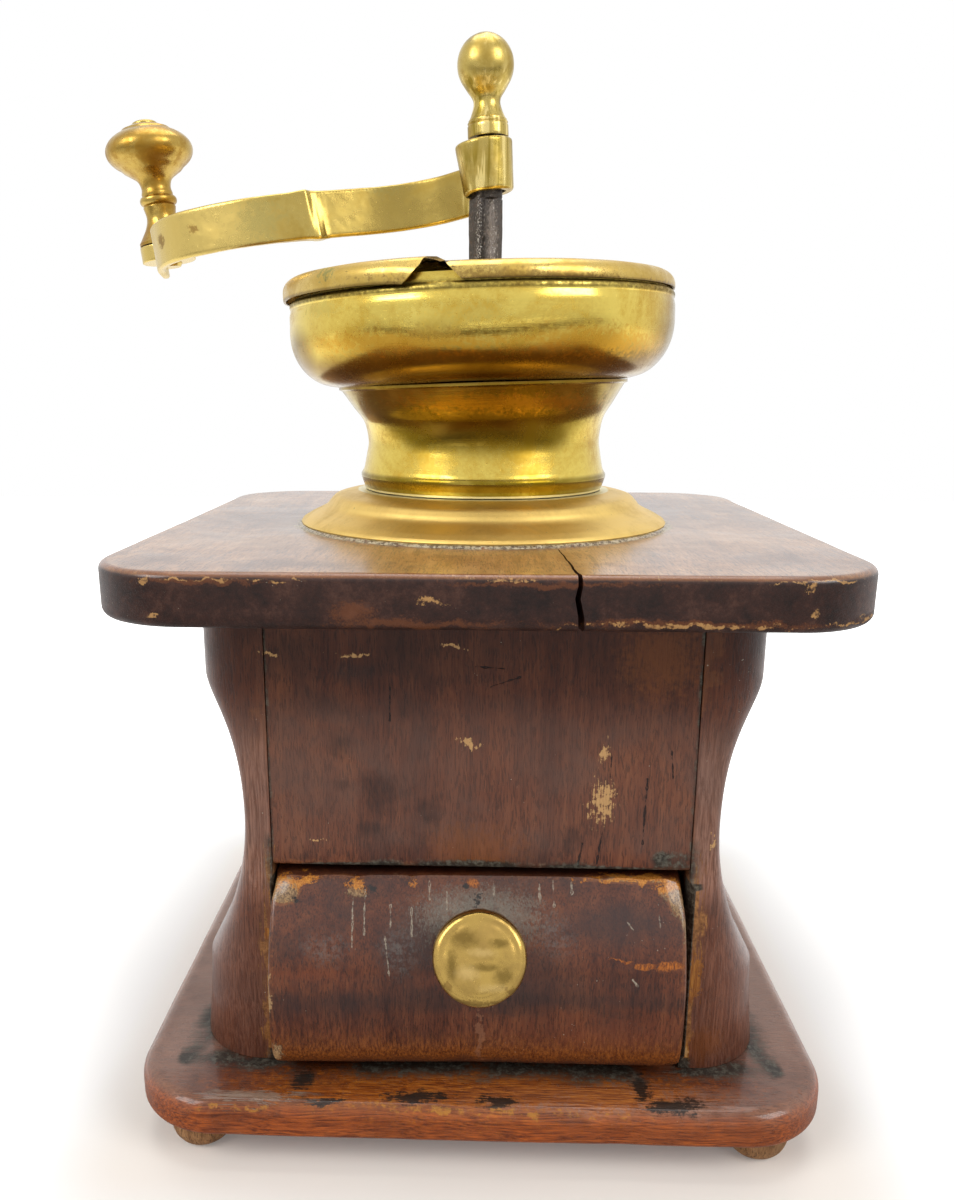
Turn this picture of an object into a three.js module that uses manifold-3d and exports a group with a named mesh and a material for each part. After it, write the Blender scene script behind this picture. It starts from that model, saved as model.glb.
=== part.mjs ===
// Wooden box coffee mill with a brass hopper and an S-curved brass crank.
// Millimetres, +Z up. The origin is the centre of the base board's underside,
// on the spindle's axis. The drawer opens towards -Y, the crank points to -X.

import * as THREE from 'three';
import { mergeVertices } from 'three/addons/utils/BufferGeometryUtils.js';
import Module from 'manifold-3d';

const wasm = await Module();
wasm.setup();

// Driving dimensions: clearances
const seat = 0.3;                 // between a piece and what carries it
const woodJoint = 0.2;            // between two boards
const runClear = 0.35;            // round a turning shaft

// Driving dimensions: base board and feet
const baseWidth = 178.4;
const baseThick = 10;
const baseCornerR = 23;
const baseTopEdgeR = 4;
const baseUnderEdgeR = 2;
const footHeight = 10.5;
const footBellyR = 8.4;
const footTipR = 3.8;
const footInsetX = 17;
const footInsetY = 14.5;
const footSpigotR = 4;
const footSpigotLength = 5;

// Driving dimensions: case
const caseHeight = 120.5;
const caseDepth = 144;
const caseInnerWidth = 104;
const sideTopThick = 17.1;
const sideWaistThick = 6.9;
const sideSwellThick = 20.4;
const sideFootThick = 22.8;
const sideShoulderDrop = 16.5;    // top land, measured down from the top board
const sideWaistHeight = 68;       // above the base board
const sideSwellHeight = 25;
const sideFrontLand = 4;          // flat strip of a side board's front edge
const frontPanelThick = 10;
const frontPanelRise = 55.5;      // its lower edge above the base board
const frontPanelRecess = 0.4;
const frontPanelEdgeR = 1.5;
const backPanelThick = 9;
const caseScrewR = 2;
const caseScrewHeadR = 4;
const caseScrewHeadDepth = 2.4;
const caseScrewLength = 28;
const caseScrewInset = 7;         // from the case's inner wall, outwards
const caseScrewSpread = 84;       // between the front and back screws

// Driving dimensions: top board
const topWidth = 180;
const topThick = 12.5;
const topCornerR = 23;
const topEdgeR = 1.8;
const topUnderEdgeR = 2.2;
const throatR = 17;

// Driving dimensions: drawer
const drawerGap = 0.4;            // to each side of the case
const drawerLift = 1.8;           // drawer front above the base board
const drawerFrontHeight = 51.2;
const drawerFrontThick = 8.5;     // at its top edge
const drawerBulge = 11;
const drawerBulgeHeight = 21;
const drawerUnderTuck = 8;
const drawerTopEdge = 1.2;
const drawerRearClear = 2.8;      // behind the drawer, to the back panel
const drawerSideThick = 6;
const drawerSideHeight = 41;
const drawerFloorThick = 3.5;
const drawerFloorLift = 2;
const drawerBackThick = 6;
const drawerKnobRise = 37;        // where its axis meets the front, above the base board
const drawerKnobProud = 7.2;      // that point in front of the case's front
const drawerKnobTilt = 25;        // degrees, its face turned up
const drawerKnobR = 11.1;
const drawerKnobLength = 14;
const drawerKnobRimDepth = 6.4;
const drawerKnobRimR = 2;
const drawerKnobDome = 0.9;
const drawerKnobNeckR = 3.8;
const drawerKnobSink = 2.4;       // its neck's foot below the sloping wood
const drawerScrewR = 2.1;
const drawerScrewLength = 7;

// Driving dimensions: hopper
const sheet = 1.1;                // brass sheet
const flangeR = 53.6;
const flangeHeight = 9.6;
const flangeRingR = 41;
const flangeShoulderR = 44.4;
const flangeInnerR = 29;
const neckFootR = 35.7;
const neckFootUndercut = 1.2;
const neckFootHeight = 3.2;
const neckWaistR = 33.5;
const neckWaistHeight = 13;       // above the flange's ring
const neckTopR = 40.6;
const neckHeight = 29.6;
const bowlFloorR = 42.4;
const bowlR = 54.1;
const bowlWallRise = 15.5;        // from the bowl's floor to its widest
const bowlHeight = 20.3;          // from the bowl's floor to the rim bead's foot
const rimBeadR = 1.4;
const rimCollarR = 52.5;
const rimCollarHeight = 2.4;
const hopperLean = 1.8;           // degrees, the old bowl sags towards -X

// Driving dimensions: lid
const lidSheet = 0.8;
const lidFixedR = 54.0;
const lidSwingR = 55.7;
const lidFoldR = 3.6;
const lidLip = 4.5;               // depth of the fixed half's lip
const lidSwingLip = 5.8;
const lidHoleR = 7.2;
const lidEyeR = 11.5;
const lidSplitAngle = -11.7;      // degrees about the spindle
const lidEndGap = 1.9;            // half the gap between the lips, at their fold
const lidEndSlope = 45;           // degrees, the cut across a lip's end

// Driving dimensions: spindle
const spindleR = 4;
const spindleFlats = 9.2;         // forged octagon, across its flats
const spindleTurn = 24;           // degrees, its flats about the axis
const tangFlats = 7.6;
const tangCorners = 9.4;
const studR = 2.4;
const studLength = 9;
const shoulderR = 5.2;
const shoulderLength = 2.2;
const coneSeatFlats = 6.6;
const coneSeatCorners = 8.2;
const coneThreadR = 3;

// Driving dimensions: crank
const hubHeightAboveTop = 97.7;   // hub's centre above the top board
const crankDroop = 7.5;           // degrees, the loose crank's outer end down
const hubLength = 13.2;
const hubTopR = 7.9;
const hubFootR = 7.0;
const hubEdge = 0.5;
const socketClear = 0.35;
const socketMouth = 0.8;
const socketMouthDepth = 2.4;
const strapThick = 2.4;
const strapHeight = 12.8;
const strapTopDrop = 4.7;         // strap's top edge below the hub's top
const strapRootR = 6.4;           // where the strap starts inside the hub's wall
const knuckleReach = 50;          // from the spindle along -X
const knuckleBead = 1.5;
const knuckleBeadHalf = 2.4;
const knuckleRidge = 0.9;
const knuckleRidgeGap = 3.4;
const bossReachX = 105.6;
const bossReachY = 47.5;
const bossR = 8.6;
const bossHeight = 5;
const bossTopDrop = 1.8;          // boss top below the strap's top edge

// Driving dimensions: crank knob and its pin
const knobHeight = 36.2;
const knobCapR = 13.8;
const knobCapRise = 28.6;
const knobCapHalf = 7.2;
const knobCollarR = 8.4;
const knobStemR = 4.7;
const knobBeadR = 5.9;
const knobBeadRise = 13.6;
const pinR = 2;
const pinHeadR = 4;
const pinHeadHeight = 1.4;

// Driving dimensions: finial nut
const finialHeight = 26;
const finialBallR = 7.7;
const finialBallRise = 18.1;
const finialNeckR = 3.7;
const finialNeckRise = 7.7;
const finialFootR = 5.6;
const finialLean = 3;             // degrees, towards -X
const finialShift = 0.5;          // its foot beside the spindle's axis
const finialBoreClear = 0.7;      // the lean needs this much round the stud

// Driving dimensions: grinding set
const bridgeLength = 62;
const bridgeWidth = 11;
const bridgeThick = 3;
const bridgeBossR = 7.5;
const bridgeBossRise = 3;
const boltSpread = 51;
const boltR = 2.4;
const boltHeadR = 4.4;
const boltHeadHeight = 2.8;
const nutR = 4.5;
const nutHeight = 3.6;
const ringFlangeR = 30;
const ringFlangeThick = 4;
const ringLength = 37;
const ringBodyR = 19.6;
const ringFootR = 16.6;
const ringMouthR = 15.2;
const ringExitR = 11.4;
const ringTeeth = 12;
const ringToothDepth = 1.4;
const burrGap = 0.7;              // between the teeth at the exit
const coneTopR = 6.4;
const coneTeeth = 9;
const coneToothDepth = 1.6;
const toothTwist = 55;            // degrees over the burr's length
const yokeInnerWidth = 63;
const yokeThick = 3;
const yokeWidth = 12;
const yokeEarGap = 0.7;           // between the yoke's ears and the ring's body
const yokeDrop = 45;              // cross-piece's top below the ring's flange top
const yokeBossR = 7;
const yokeBossDrop = 3;
const adjustR = 3;
const adjustLength = 20;
const adjustWingSpan = 18;
const adjustWingHeight = 7;
const adjustWingThick = 2.6;
const coneNutR = 5.4;
const coneNutHeight = 3.4;

// Levels worked out from the sizes above
const halfInner = caseInnerWidth / 2;
const caseFront = -caseDepth / 2;
const caseBack = caseDepth / 2;
const baseTop = baseThick;
const topUnder = baseTop + caseHeight;
const topTop = topUnder + topThick;
const ringLevel = topTop + seat + flangeHeight;
const bowlFloor = ringLevel + seat + neckHeight + seat;
const rimLevel = bowlFloor + bowlHeight;
const rimTop = rimLevel + 2 * rimBeadR + rimCollarHeight;
const lidFixedFoot = rimLevel + 2 * rimBeadR + seat;
const lidFixedTop = lidFixedFoot + lidLip;
const lidSwingTop = lidFixedTop + seat + lidSheet;
const hubCentre = topTop + hubHeightAboveTop;
const flangeTopBurr = topUnder - seat;
const burrFoot = flangeTopBurr - ringLength;

// Materials
const paint = (color, roughness, metalness) => new THREE.MeshStandardMaterial({ color, roughness, metalness });
const mahogany = paint(0x4a2418, 0.45, 0);
const boardTop = paint(0x6d4a3a, 0.6, 0);
const rawWood = paint(0x8a6540, 0.75, 0);
const brass = paint(0xb8923c, 0.3, 1);
const dullBrass = paint(0xa98c4a, 0.45, 1);
const iron = paint(0x4b4542, 0.6, 0.8);
const steel = paint(0x6a6662, 0.5, 0.9);

// Closed-mesh helpers
function signedVolume(position, index) {
  const a = new THREE.Vector3();
  const b = new THREE.Vector3();
  const c = new THREE.Vector3();
  let sum = 0;
  for (let i = 0; i < index.length; i += 3) {
    a.fromBufferAttribute(position, index[i]);
    b.fromBufferAttribute(position, index[i + 1]);
    c.fromBufferAttribute(position, index[i + 2]);
    sum += a.dot(b.cross(c));
  }
  return sum / 6;
}

// Shared corners, no flat slivers at a pole, faces outwards
function closed(geometry) {
  const source = geometry.clone();
  source.deleteAttribute('normal');
  source.deleteAttribute('uv');
  const merged = mergeVertices(source, 1e-4);
  const all = Array.from(merged.index.array);
  const kept = [];
  for (let i = 0; i < all.length; i += 3) {
    const [p, q, r] = [all[i], all[i + 1], all[i + 2]];
    if (p !== q && q !== r && r !== p) kept.push(p, q, r);
  }
  if (signedVolume(merged.attributes.position, kept) < 0) kept.reverse();
  merged.setIndex(kept);
  return merged;
}

function toSolid(geometry) {
  const g = closed(geometry);
  return new wasm.Manifold(new wasm.Mesh({
    numProp: 3,
    vertProperties: new Float32Array(g.attributes.position.array),
    triVerts: new Uint32Array(g.index.array),
  }));
}

function toGeometry(solid) {
  const mesh = solid.getMesh();
  const g = new THREE.BufferGeometry();
  g.setAttribute('position', new THREE.BufferAttribute(new Float32Array(mesh.vertProperties), 3));
  g.setIndex(Array.from(mesh.triVerts));
  return g;
}

function cut(geometry, ...tools) {
  let solid = toSolid(geometry);
  for (const tool of tools) solid = solid.subtract(toSolid(tool));
  return toGeometry(solid);
}

function join(geometry, ...others) {
  let solid = toSolid(geometry);
  for (const other of others) solid = solid.add(toSolid(other));
  return toGeometry(solid);
}

// Basic forms, all placed with +Z up
function block(x0, x1, y0, y1, z0, z1) {
  const g = new THREE.BoxGeometry(x1 - x0, y1 - y0, z1 - z0);
  return g.translate((x0 + x1) / 2, (y0 + y1) / 2, (z0 + z1) / 2);
}

function rod(radius, z0, z1, x = 0, y = 0, sides = 20) {
  const g = new THREE.CylinderGeometry(radius, radius, z1 - z0, sides);
  return g.rotateX(Math.PI / 2).translate(x, y, (z0 + z1) / 2);
}

// A turned piece: outline points are [radius, height]
function turned(outline, sides) {
  const points = outline.map(([r, z]) => new THREE.Vector2(r, z));
  return new THREE.LatheGeometry(points, sides).rotateX(Math.PI / 2);
}

// Points along an elliptic arc, angles in degrees from the +radius direction
function arc(cx, cy, rx, ry, from, to, steps) {
  const points = [];
  for (let i = 0; i <= steps; i += 1) {
    const a = THREE.MathUtils.degToRad(from + (to - from) * i / steps);
    points.push([cx + rx * Math.cos(a), cy + ry * Math.sin(a)]);
  }
  return points;
}

// Points along a smooth curve through a few marks
function through(marks, steps) {
  const curve = new THREE.SplineCurve(marks.map(([x, y]) => new THREE.Vector2(x, y)));
  return curve.getPoints(steps).map((p) => [p.x, p.y]);
}

// A sheet profile: the outer line, and the same line moved inwards by the wall,
// kept between the heights of the outer line's two ends
function shellOutline(outer, wall) {
  const ends = [outer[0][1], outer[outer.length - 1][1]];
  const inner = outer.map(([x, y], i) => {
    const [px, py] = outer[Math.max(i - 1, 0)];
    const [nx, ny] = outer[Math.min(i + 1, outer.length - 1)];
    const length = Math.hypot(nx - px, ny - py);
    const height = y + wall * (nx - px) / length;
    return [x - wall * (ny - py) / length, THREE.MathUtils.clamp(height, Math.min(...ends), Math.max(...ends))];
  });
  return [...outer, ...inner.reverse(), outer[0]];
}

// Skin through rings of equal count, capped at both ends
function loft(rings) {
  const count = rings[0].length;
  const positions = rings.flat().flatMap((p) => [p.x, p.y, p.z]);
  const index = [];
  for (let i = 0; i + 1 < rings.length; i += 1) {
    for (let j = 0; j < count; j += 1) {
      const a = i * count + j;
      const b = i * count + (j + 1) % count;
      index.push(a, b, b + count, a, b + count, a + count);
    }
  }
  const cap = (ring, offset, flip) => {
    const flat = ring.map((p) => new THREE.Vector2(p.x, p.y));
    const clockwise = THREE.ShapeUtils.area(flat) < 0;
    for (const [a, b, c] of THREE.ShapeUtils.triangulateShape(flat, [])) {
      const [u, v] = flip !== clockwise ? [c, b] : [b, c];
      index.push(a + offset, u + offset, v + offset);
    }
  };
  cap(rings[0], 0, true);
  cap(rings[rings.length - 1], (rings.length - 1) * count, false);
  const g = new THREE.BufferGeometry();
  g.setAttribute('position', new THREE.BufferAttribute(new Float32Array(positions), 3));
  g.setIndex(index);
  return closed(g);
}

// A bar whose section is an outline in Y and Z, drawn along X
function barAlongX(outline, x0, x1) {
  const shape = new THREE.Shape(outline.map(([y, z]) => new THREE.Vector2(y, z)));
  const g = new THREE.ExtrudeGeometry(shape, { depth: x1 - x0, bevelEnabled: false });
  const frame = new THREE.Matrix4().makeBasis(
    new THREE.Vector3(0, 1, 0), new THREE.Vector3(0, 0, 1), new THREE.Vector3(1, 0, 0));
  return g.applyMatrix4(frame).translate(x0, 0, 0);
}

// A plate whose outline lies in X and Y, from z0 to z1
function plate(outline, z0, z1) {
  const shape = new THREE.Shape(outline.map(([x, y]) => new THREE.Vector2(x, y)));
  return new THREE.ExtrudeGeometry(shape, { depth: z1 - z0, bevelEnabled: false }).translate(0, 0, z0);
}

// Wooden boards

function roundedSquare(width, radius, z) {
  const ring = [];
  const reach = width / 2 - radius;
  for (const [sx, sy, start] of [[1, 1, 0], [-1, 1, 90], [-1, -1, 180], [1, -1, 270]]) {
    for (const [x, y] of arc(sx * reach, sy * reach, radius, radius, start, start + 90, 7)) {
      ring.push(new THREE.Vector3(x, y, z));
    }
  }
  return ring;
}

function roundedBoard(width, thick, cornerR, topR, underR, z) {
  const rings = [];
  for (const [inset, rise] of arc(underR, underR, underR, underR, 270, 180, 3)) {
    rings.push(roundedSquare(width - 2 * inset, cornerR - inset, z + rise));
  }
  for (const [inset, rise] of arc(topR, thick - topR, topR, topR, 180, 90, 4)) {
    rings.push(roundedSquare(width - 2 * inset, cornerR - inset, z + rise));
  }
  return loft(rings);
}

const footX = baseWidth / 2 - footInsetX;
const footY = baseWidth / 2 - footInsetY;
const corners = [['front_left', -1, -1], ['front_right', 1, -1], ['back_left', -1, 1], ['back_right', 1, 1]];
const screwX = halfInner + caseScrewInset;
const screwY = caseScrewSpread / 2;

function baseBoard() {
  const board = roundedBoard(baseWidth, baseThick, baseCornerR, baseTopEdgeR, baseUnderEdgeR, 0);
  const tools = [];
  for (const [, sx, sy] of corners) {
    tools.push(rod(footSpigotR + seat, -1, footSpigotLength + seat, sx * footX, sy * footY));
    tools.push(rod(caseScrewR + seat, -1, baseThick + 1, sx * screwX, sy * screwY, 12));
    const sink = turned([[0, -1], [caseScrewHeadR + seat, -1], [caseScrewHeadR + seat, 0],
      [caseScrewR + seat, caseScrewHeadDepth], [0, caseScrewHeadDepth]], 12);
    tools.push(sink.translate(sx * screwX, sy * screwY, 0));
  }
  return cut(board, ...tools);
}

function foot() {
  const belly = arc(footTipR, -footHeight / 2.6, footBellyR - footTipR, footHeight - footHeight / 2.6, -90, 0, 4);
  return turned([[0, -footHeight], ...belly, [footBellyR - 0.5, -seat], [footSpigotR, -seat],
    [footSpigotR, footSpigotLength], [0, footSpigotLength]], 16);
}

function caseScrew() {
  const tip = caseScrewLength - 3;
  return turned([[0, 0], [caseScrewHeadR, 0], [caseScrewR, caseScrewHeadDepth], [caseScrewR, tip],
    [0, caseScrewLength]], 12);
}

// Thickness of a side board against the height above the base board:
// a rounded foot, an ogee swell, a thin waist, a cove and a straight top land
function sideProfile() {
  const v = (t, z) => new THREE.Vector2(t, z);
  const shoulder = caseHeight - sideShoulderDrop;
  const footCurve = new THREE.QuadraticBezierCurve(
    v(sideFootThick, 0), v((sideFootThick + sideSwellThick) / 2 - 0.6, sideSwellHeight * 0.6),
    v(sideSwellThick, sideSwellHeight));
  const swell = new THREE.CubicBezierCurve(
    v(sideSwellThick, sideSwellHeight), v(sideSwellThick - 1.5, sideSwellHeight + 4),
    v(sideWaistThick, (sideSwellHeight + sideWaistHeight) / 2), v(sideWaistThick, sideWaistHeight));
  const cove = new THREE.CubicBezierCurve(
    v(sideWaistThick, sideWaistHeight), v(sideWaistThick, shoulder - 12),
    v(sideTopThick, shoulder - 7), v(sideTopThick, shoulder));
  return [...footCurve.getPoints(4).slice(0, -1), ...swell.getPoints(8).slice(0, -1), ...cove.getPoints(9),
    v(sideTopThick, caseHeight)];
}

function sideBoard(side) {
  const rings = sideProfile().map(({ x: thick, y: height }) => {
    const radius = Math.max(thick - sideFrontLand, 1);
    const land = thick - radius;
    const ring = [[0, caseFront], ...arc(land, caseFront + radius, radius, radius, -90, 0, 5),
      ...arc(land, caseBack - radius, radius, radius, 0, 90, 5), [0, caseBack]];
    const z = THREE.MathUtils.clamp(baseTop + height, baseTop + woodJoint, topUnder - woodJoint);
    return ring.map(([t, y]) => new THREE.Vector3(side * (halfInner + t), y, z));
  });
  const holes = [-1, 1].map((sy) => rod(caseScrewR + seat, baseTop - 1, caseScrewLength + seat,
    side * screwX, sy * screwY, 12));
  return cut(loft(rings), ...holes);
}

function frontPanel() {
  const y0 = caseFront + frontPanelRecess;
  const y1 = y0 + frontPanelThick;
  const z0 = baseTop + frontPanelRise;
  const z1 = topUnder - woodJoint;
  const edge = arc(y0 + frontPanelEdgeR, z0 + frontPanelEdgeR, frontPanelEdgeR, frontPanelEdgeR, 180, 270, 3);
  return barAlongX([[y0, z1], ...edge, [y1, z0], [y1, z1]], -halfInner + woodJoint, halfInner - woodJoint);
}

function backPanel() {
  return block(-halfInner + woodJoint, halfInner - woodJoint, caseBack - backPanelThick, caseBack,
    baseTop + woodJoint, topUnder - woodJoint);
}

function topBoard() {
  const board = roundedBoard(topWidth, topThick, topCornerR, topEdgeR, topUnderEdgeR, topUnder);
  const holes = [-1, 1].map((s) => rod(boltR + seat, topUnder - 1, topTop + 1, s * boltSpread / 2, 0, 12));
  return cut(board, rod(throatR, topUnder - 1, topTop + 1, 0, 0, 32), ...holes);
}

// Drawer

const drawerHalf = halfInner - drawerGap;
const drawerBottom = baseTop + drawerLift;
const drawerFrontTop = drawerBottom + drawerFrontHeight;
const drawerFaceTop = caseFront + 0.5;
const drawerFrontBack = drawerFaceTop + drawerFrontThick;
const drawerRunner = baseTop + seat;

function drawerFront() {
  const bulge = drawerFaceTop - drawerBulge;
  const middle = drawerBottom + drawerBulgeHeight;
  const upper = new THREE.CubicBezierCurve(
    new THREE.Vector2(drawerFaceTop, drawerFrontTop - drawerTopEdge), new THREE.Vector2(bulge + drawerBulge / 2, drawerFrontTop - 9),
    new THREE.Vector2(bulge, middle + 15), new THREE.Vector2(bulge, middle));
  const lower = new THREE.CubicBezierCurve(
    new THREE.Vector2(bulge, middle), new THREE.Vector2(bulge, middle - drawerBulgeHeight / 2),
    new THREE.Vector2(bulge + drawerUnderTuck * 0.2, drawerBottom + 2.2),
    new THREE.Vector2(bulge + drawerUnderTuck, drawerBottom));
  const face = [[drawerFaceTop + drawerTopEdge, drawerFrontTop], ...upper.getPoints(9).slice(0, -1), ...lower.getPoints(7)].map((p) => (p.isVector2 ? [p.x, p.y] : p));
  const front = barAlongX([...face, [drawerFrontBack, drawerBottom], [drawerFrontBack, drawerFrontTop]],
    -drawerHalf, drawerHalf);
  const screwHole = atDrawerKnob(rod(drawerScrewR + seat, -drawerKnobSink - drawerScrewLength - 1, 5, 0, 0, 12));
  const neckHole = atDrawerKnob(rod(drawerKnobNeckR + seat, -drawerKnobSink - seat, 9, 0, 0, 20));
  return cut(front, screwHole, neckHole);
}

// Lays an upright piece on the drawer front's slope, its foot at the wood
function atDrawerKnob(geometry) {
  return geometry.rotateX(THREE.MathUtils.degToRad(90 - drawerKnobTilt))
    .translate(0, caseFront - drawerKnobProud, baseTop + drawerKnobRise);
}

function drawerKnob() {
  const foot0 = -drawerKnobSink;
  const back = drawerKnobLength - drawerKnobDome - drawerKnobRimDepth;
  const front = drawerKnobLength - drawerKnobDome;
  const rim = drawerKnobRimR;
  return atDrawerKnob(turned([[0, foot0 - drawerScrewLength], [drawerScrewR, foot0 - drawerScrewLength + 2],
    [drawerScrewR, foot0], [drawerKnobNeckR, foot0], [drawerKnobNeckR, back - 2.4],
    [drawerKnobNeckR + 1.4, back - 0.6], [drawerKnobR - rim - 1, back],
    ...arc(drawerKnobR - rim, back + rim, rim, rim, -60, 0, 2),
    ...arc(drawerKnobR - rim, front - rim, rim, rim, 0, 80, 3),
    ...arc(0, front, drawerKnobR - rim - 0.6, drawerKnobDome, 40, 90, 2)], 28));
}

const drawerRear = caseBack - backPanelThick - drawerRearClear;

function drawerSide(side) {
  const outer = side * (drawerHalf - seat);
  const inner = side * (drawerHalf - seat - drawerSideThick);
  return block(Math.min(outer, inner), Math.max(outer, inner), drawerFrontBack + woodJoint, drawerRear,
    drawerRunner, drawerRunner + drawerSideHeight);
}

const drawerInner = drawerHalf - seat - drawerSideThick - woodJoint;
const drawerFloorTop = drawerRunner + drawerFloorLift + drawerFloorThick;

function drawerFloor() {
  return block(-drawerInner, drawerInner, drawerFrontBack + woodJoint, drawerRear,
    drawerFloorTop - drawerFloorThick, drawerFloorTop);
}

function drawerBack() {
  return block(-drawerInner, drawerInner, drawerRear - drawerBackThick, drawerRear,
    drawerFloorTop + woodJoint, drawerRunner + drawerSideHeight - 2);
}

// Hopper

const roundSides = 36;

// The lean sets in along the neck and is whole from the bowl's floor up
const leanStart = ringLevel + seat + neckFootHeight + 2;
const leanEnd = bowlFloor - seat;
const leanPivot = (leanStart + leanEnd) / 2;
const leanFrame = new THREE.Matrix4()
  .makeTranslation(0, 0, leanPivot)
  .multiply(new THREE.Matrix4().makeRotationY(THREE.MathUtils.degToRad(-hopperLean)))
  .multiply(new THREE.Matrix4().makeTranslation(0, 0, -leanPivot));

function leaning(geometry) {
  const position = geometry.attributes.position;
  const p = new THREE.Vector3();
  for (let i = 0; i < position.count; i += 1) {
    p.fromBufferAttribute(position, i);
    const share = THREE.MathUtils.smoothstep(p.z, leanStart, leanEnd);
    p.z -= leanPivot;
    p.applyAxisAngle(new THREE.Vector3(0, 1, 0), THREE.MathUtils.degToRad(-hopperLean * share));
    position.setXYZ(i, p.x, p.y, p.z + leanPivot);
  }
  return geometry;
}

function hopperFlange() {
  const z = topTop + seat;
  const rise = flangeHeight;
  const outer = [[flangeR - 0.3, z], [flangeR, z + 0.7], [flangeR - 0.4, z + 1.3],
    ...through([[flangeR - 2.6, z + rise * 0.27], [flangeShoulderR + 2.2, z + rise * 0.5],
      [flangeShoulderR + 0.6, z + rise * 0.68], [flangeShoulderR - 1, z + rise * 0.84],
      [flangeRingR, z + rise * 0.92]], 5),
    [neckFootR + 1, z + rise], [flangeInnerR, z + rise]];
  return turned(shellOutline(outer, sheet), roundSides);
}

function hopperNeck() {
  const z = ringLevel + seat;
  const outer = [[neckFootR - neckFootUndercut, z], [neckFootR, z + neckFootHeight],
    ...through([[neckFootR - 0.1, z + neckFootHeight + 0.9], [neckWaistR + 0.7, z + neckWaistHeight - 4.5],
      [neckWaistR, z + neckWaistHeight], [neckWaistR + 0.9, z + neckWaistHeight + 6],
      [(neckWaistR + neckTopR) / 2, z + neckHeight - 6], [neckTopR, z + neckHeight]], 8)];
  return leaning(turned(shellOutline(outer, sheet), roundSides));
}

function hopperBowl() {
  const z = bowlFloor;
  const rim = rimLevel;
  const beadX = bowlR - 0.1 - rimBeadR;
  const throat = neckTopR - sheet - 0.6;
  const outer = [[throat, z], [bowlFloorR - 1, z + 0.1],
    ...arc(bowlFloorR - 1, z + bowlWallRise, bowlR - bowlFloorR + 1, bowlWallRise - 0.4, -72, 0, 6),
    [bowlR, rim - 1.2], [bowlR - 0.8, rim - 0.1],
    ...arc(beadX, rim + rimBeadR, rimBeadR, rimBeadR, -30, 60, 3),
    [rimCollarR, rim + 2 * rimBeadR + 0.1], [rimCollarR, rimTop]];
  const inside = [[rimCollarR - sheet, rimTop], [rimCollarR - sheet, rim - 0.4], [bowlR - sheet, rim - 1.6],
    ...arc(bowlFloorR - 1, z + bowlWallRise, bowlR - bowlFloorR + 1 - sheet, bowlWallRise - 0.4 - sheet, 0, -72, 5),
    [throat, z + sheet]];
  return leaning(turned([...outer, ...inside, outer[0]], roundSides));
}

// Lid halves: a flat disc with a rolled-down lip, split across the spindle

function lidDisc(radius, top, lip) {
  const wall = lidSheet;
  const fold = lidFoldR;
  return turned([[lidHoleR, top - wall], [lidHoleR, top],
    ...arc(radius - fold, top - fold, fold, fold, 90, 0, 5), [radius, top - lip], [radius - wall, top - lip],
    ...arc(radius - fold, top - fold, fold - wall, fold - wall, 0, 90, 4), [lidHoleR, top - wall]], roundSides);
}

// Wedge that takes the other half away, with its side cut back at the lip
function lidCutter(side, level, gap, lip) {
  const reach = lidSwingR + 5;
  const run = lip * Math.tan(THREE.MathUtils.degToRad(lidEndSlope)) + gap;
  const flat = block(Math.min(0, -side * reach), Math.max(0, -side * reach), -reach, reach, level - 20, level + 5);
  const inner = Math.min(lidFixedR, lidSwingR) - lidFoldR - 0.8;
  const wedge = new THREE.Shape([[0, 0], [gap, 0], [run, -lip], [run, -lip - 3], [0, -lip - 3]]
    .map(([x, y]) => new THREE.Vector2(side * x, y)));
  const upright = new THREE.Matrix4().makeBasis(
    new THREE.Vector3(1, 0, 0), new THREE.Vector3(0, 0, 1), new THREE.Vector3(0, -1, 0));
  const ends = [reach, -inner].map((y) => new THREE.ExtrudeGeometry(wedge, { depth: reach - inner, bevelEnabled: false })
    .applyMatrix4(upright).translate(0, y, level));
  return [flat, ...ends];
}

function lidFixedHalf() {
  const disc = lidDisc(lidFixedR, lidFixedTop, lidLip);
  return cut(disc, ...lidCutter(1, lidFixedTop, lidEndGap, lidLip));
}

function lidSwingHalf() {
  const disc = lidDisc(lidSwingR, lidSwingTop, lidSwingLip);
  const half = cut(disc, ...lidCutter(-1, lidSwingTop, lidEndGap, lidSwingLip));
  const eye = turned([[lidHoleR, lidSwingTop - lidSheet], [lidEyeR, lidSwingTop - lidSheet],
    [lidEyeR, lidSwingTop], [lidHoleR, lidSwingTop], [lidHoleR, lidSwingTop - lidSheet]], roundSides);
  return join(half, eye);
}

// Spindle: forged bar, round where it turns, square where it carries

// Ring of a square bar with its corners cut, given across flats and corners
function barRing(flats, acrossCorners, z, turn = spindleTurn) {
  const ring = [];
  for (let i = 0; i < 24; i += 1) {
    const a = 2 * Math.PI * i / 24;
    const toFlat = Math.max(Math.abs(Math.cos(a)), Math.abs(Math.sin(a)));
    const toCorner = Math.max(Math.abs(Math.cos(a - Math.PI / 4)), Math.abs(Math.sin(a - Math.PI / 4)));
    const r = Math.min(flats / 2 / toFlat, acrossCorners / 2 / toCorner);
    const b = a + THREE.MathUtils.degToRad(turn);
    ring.push(new THREE.Vector3(r * Math.cos(b), r * Math.sin(b), z));
  }
  return ring;
}

function roundRing(radius, z) {
  const ring = [];
  for (let i = 0; i < 24; i += 1) {
    const b = 2 * Math.PI * i / 24 + THREE.MathUtils.degToRad(spindleTurn);
    ring.push(new THREE.Vector3(radius * Math.cos(b), radius * Math.sin(b), z));
  }
  return ring;
}

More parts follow.
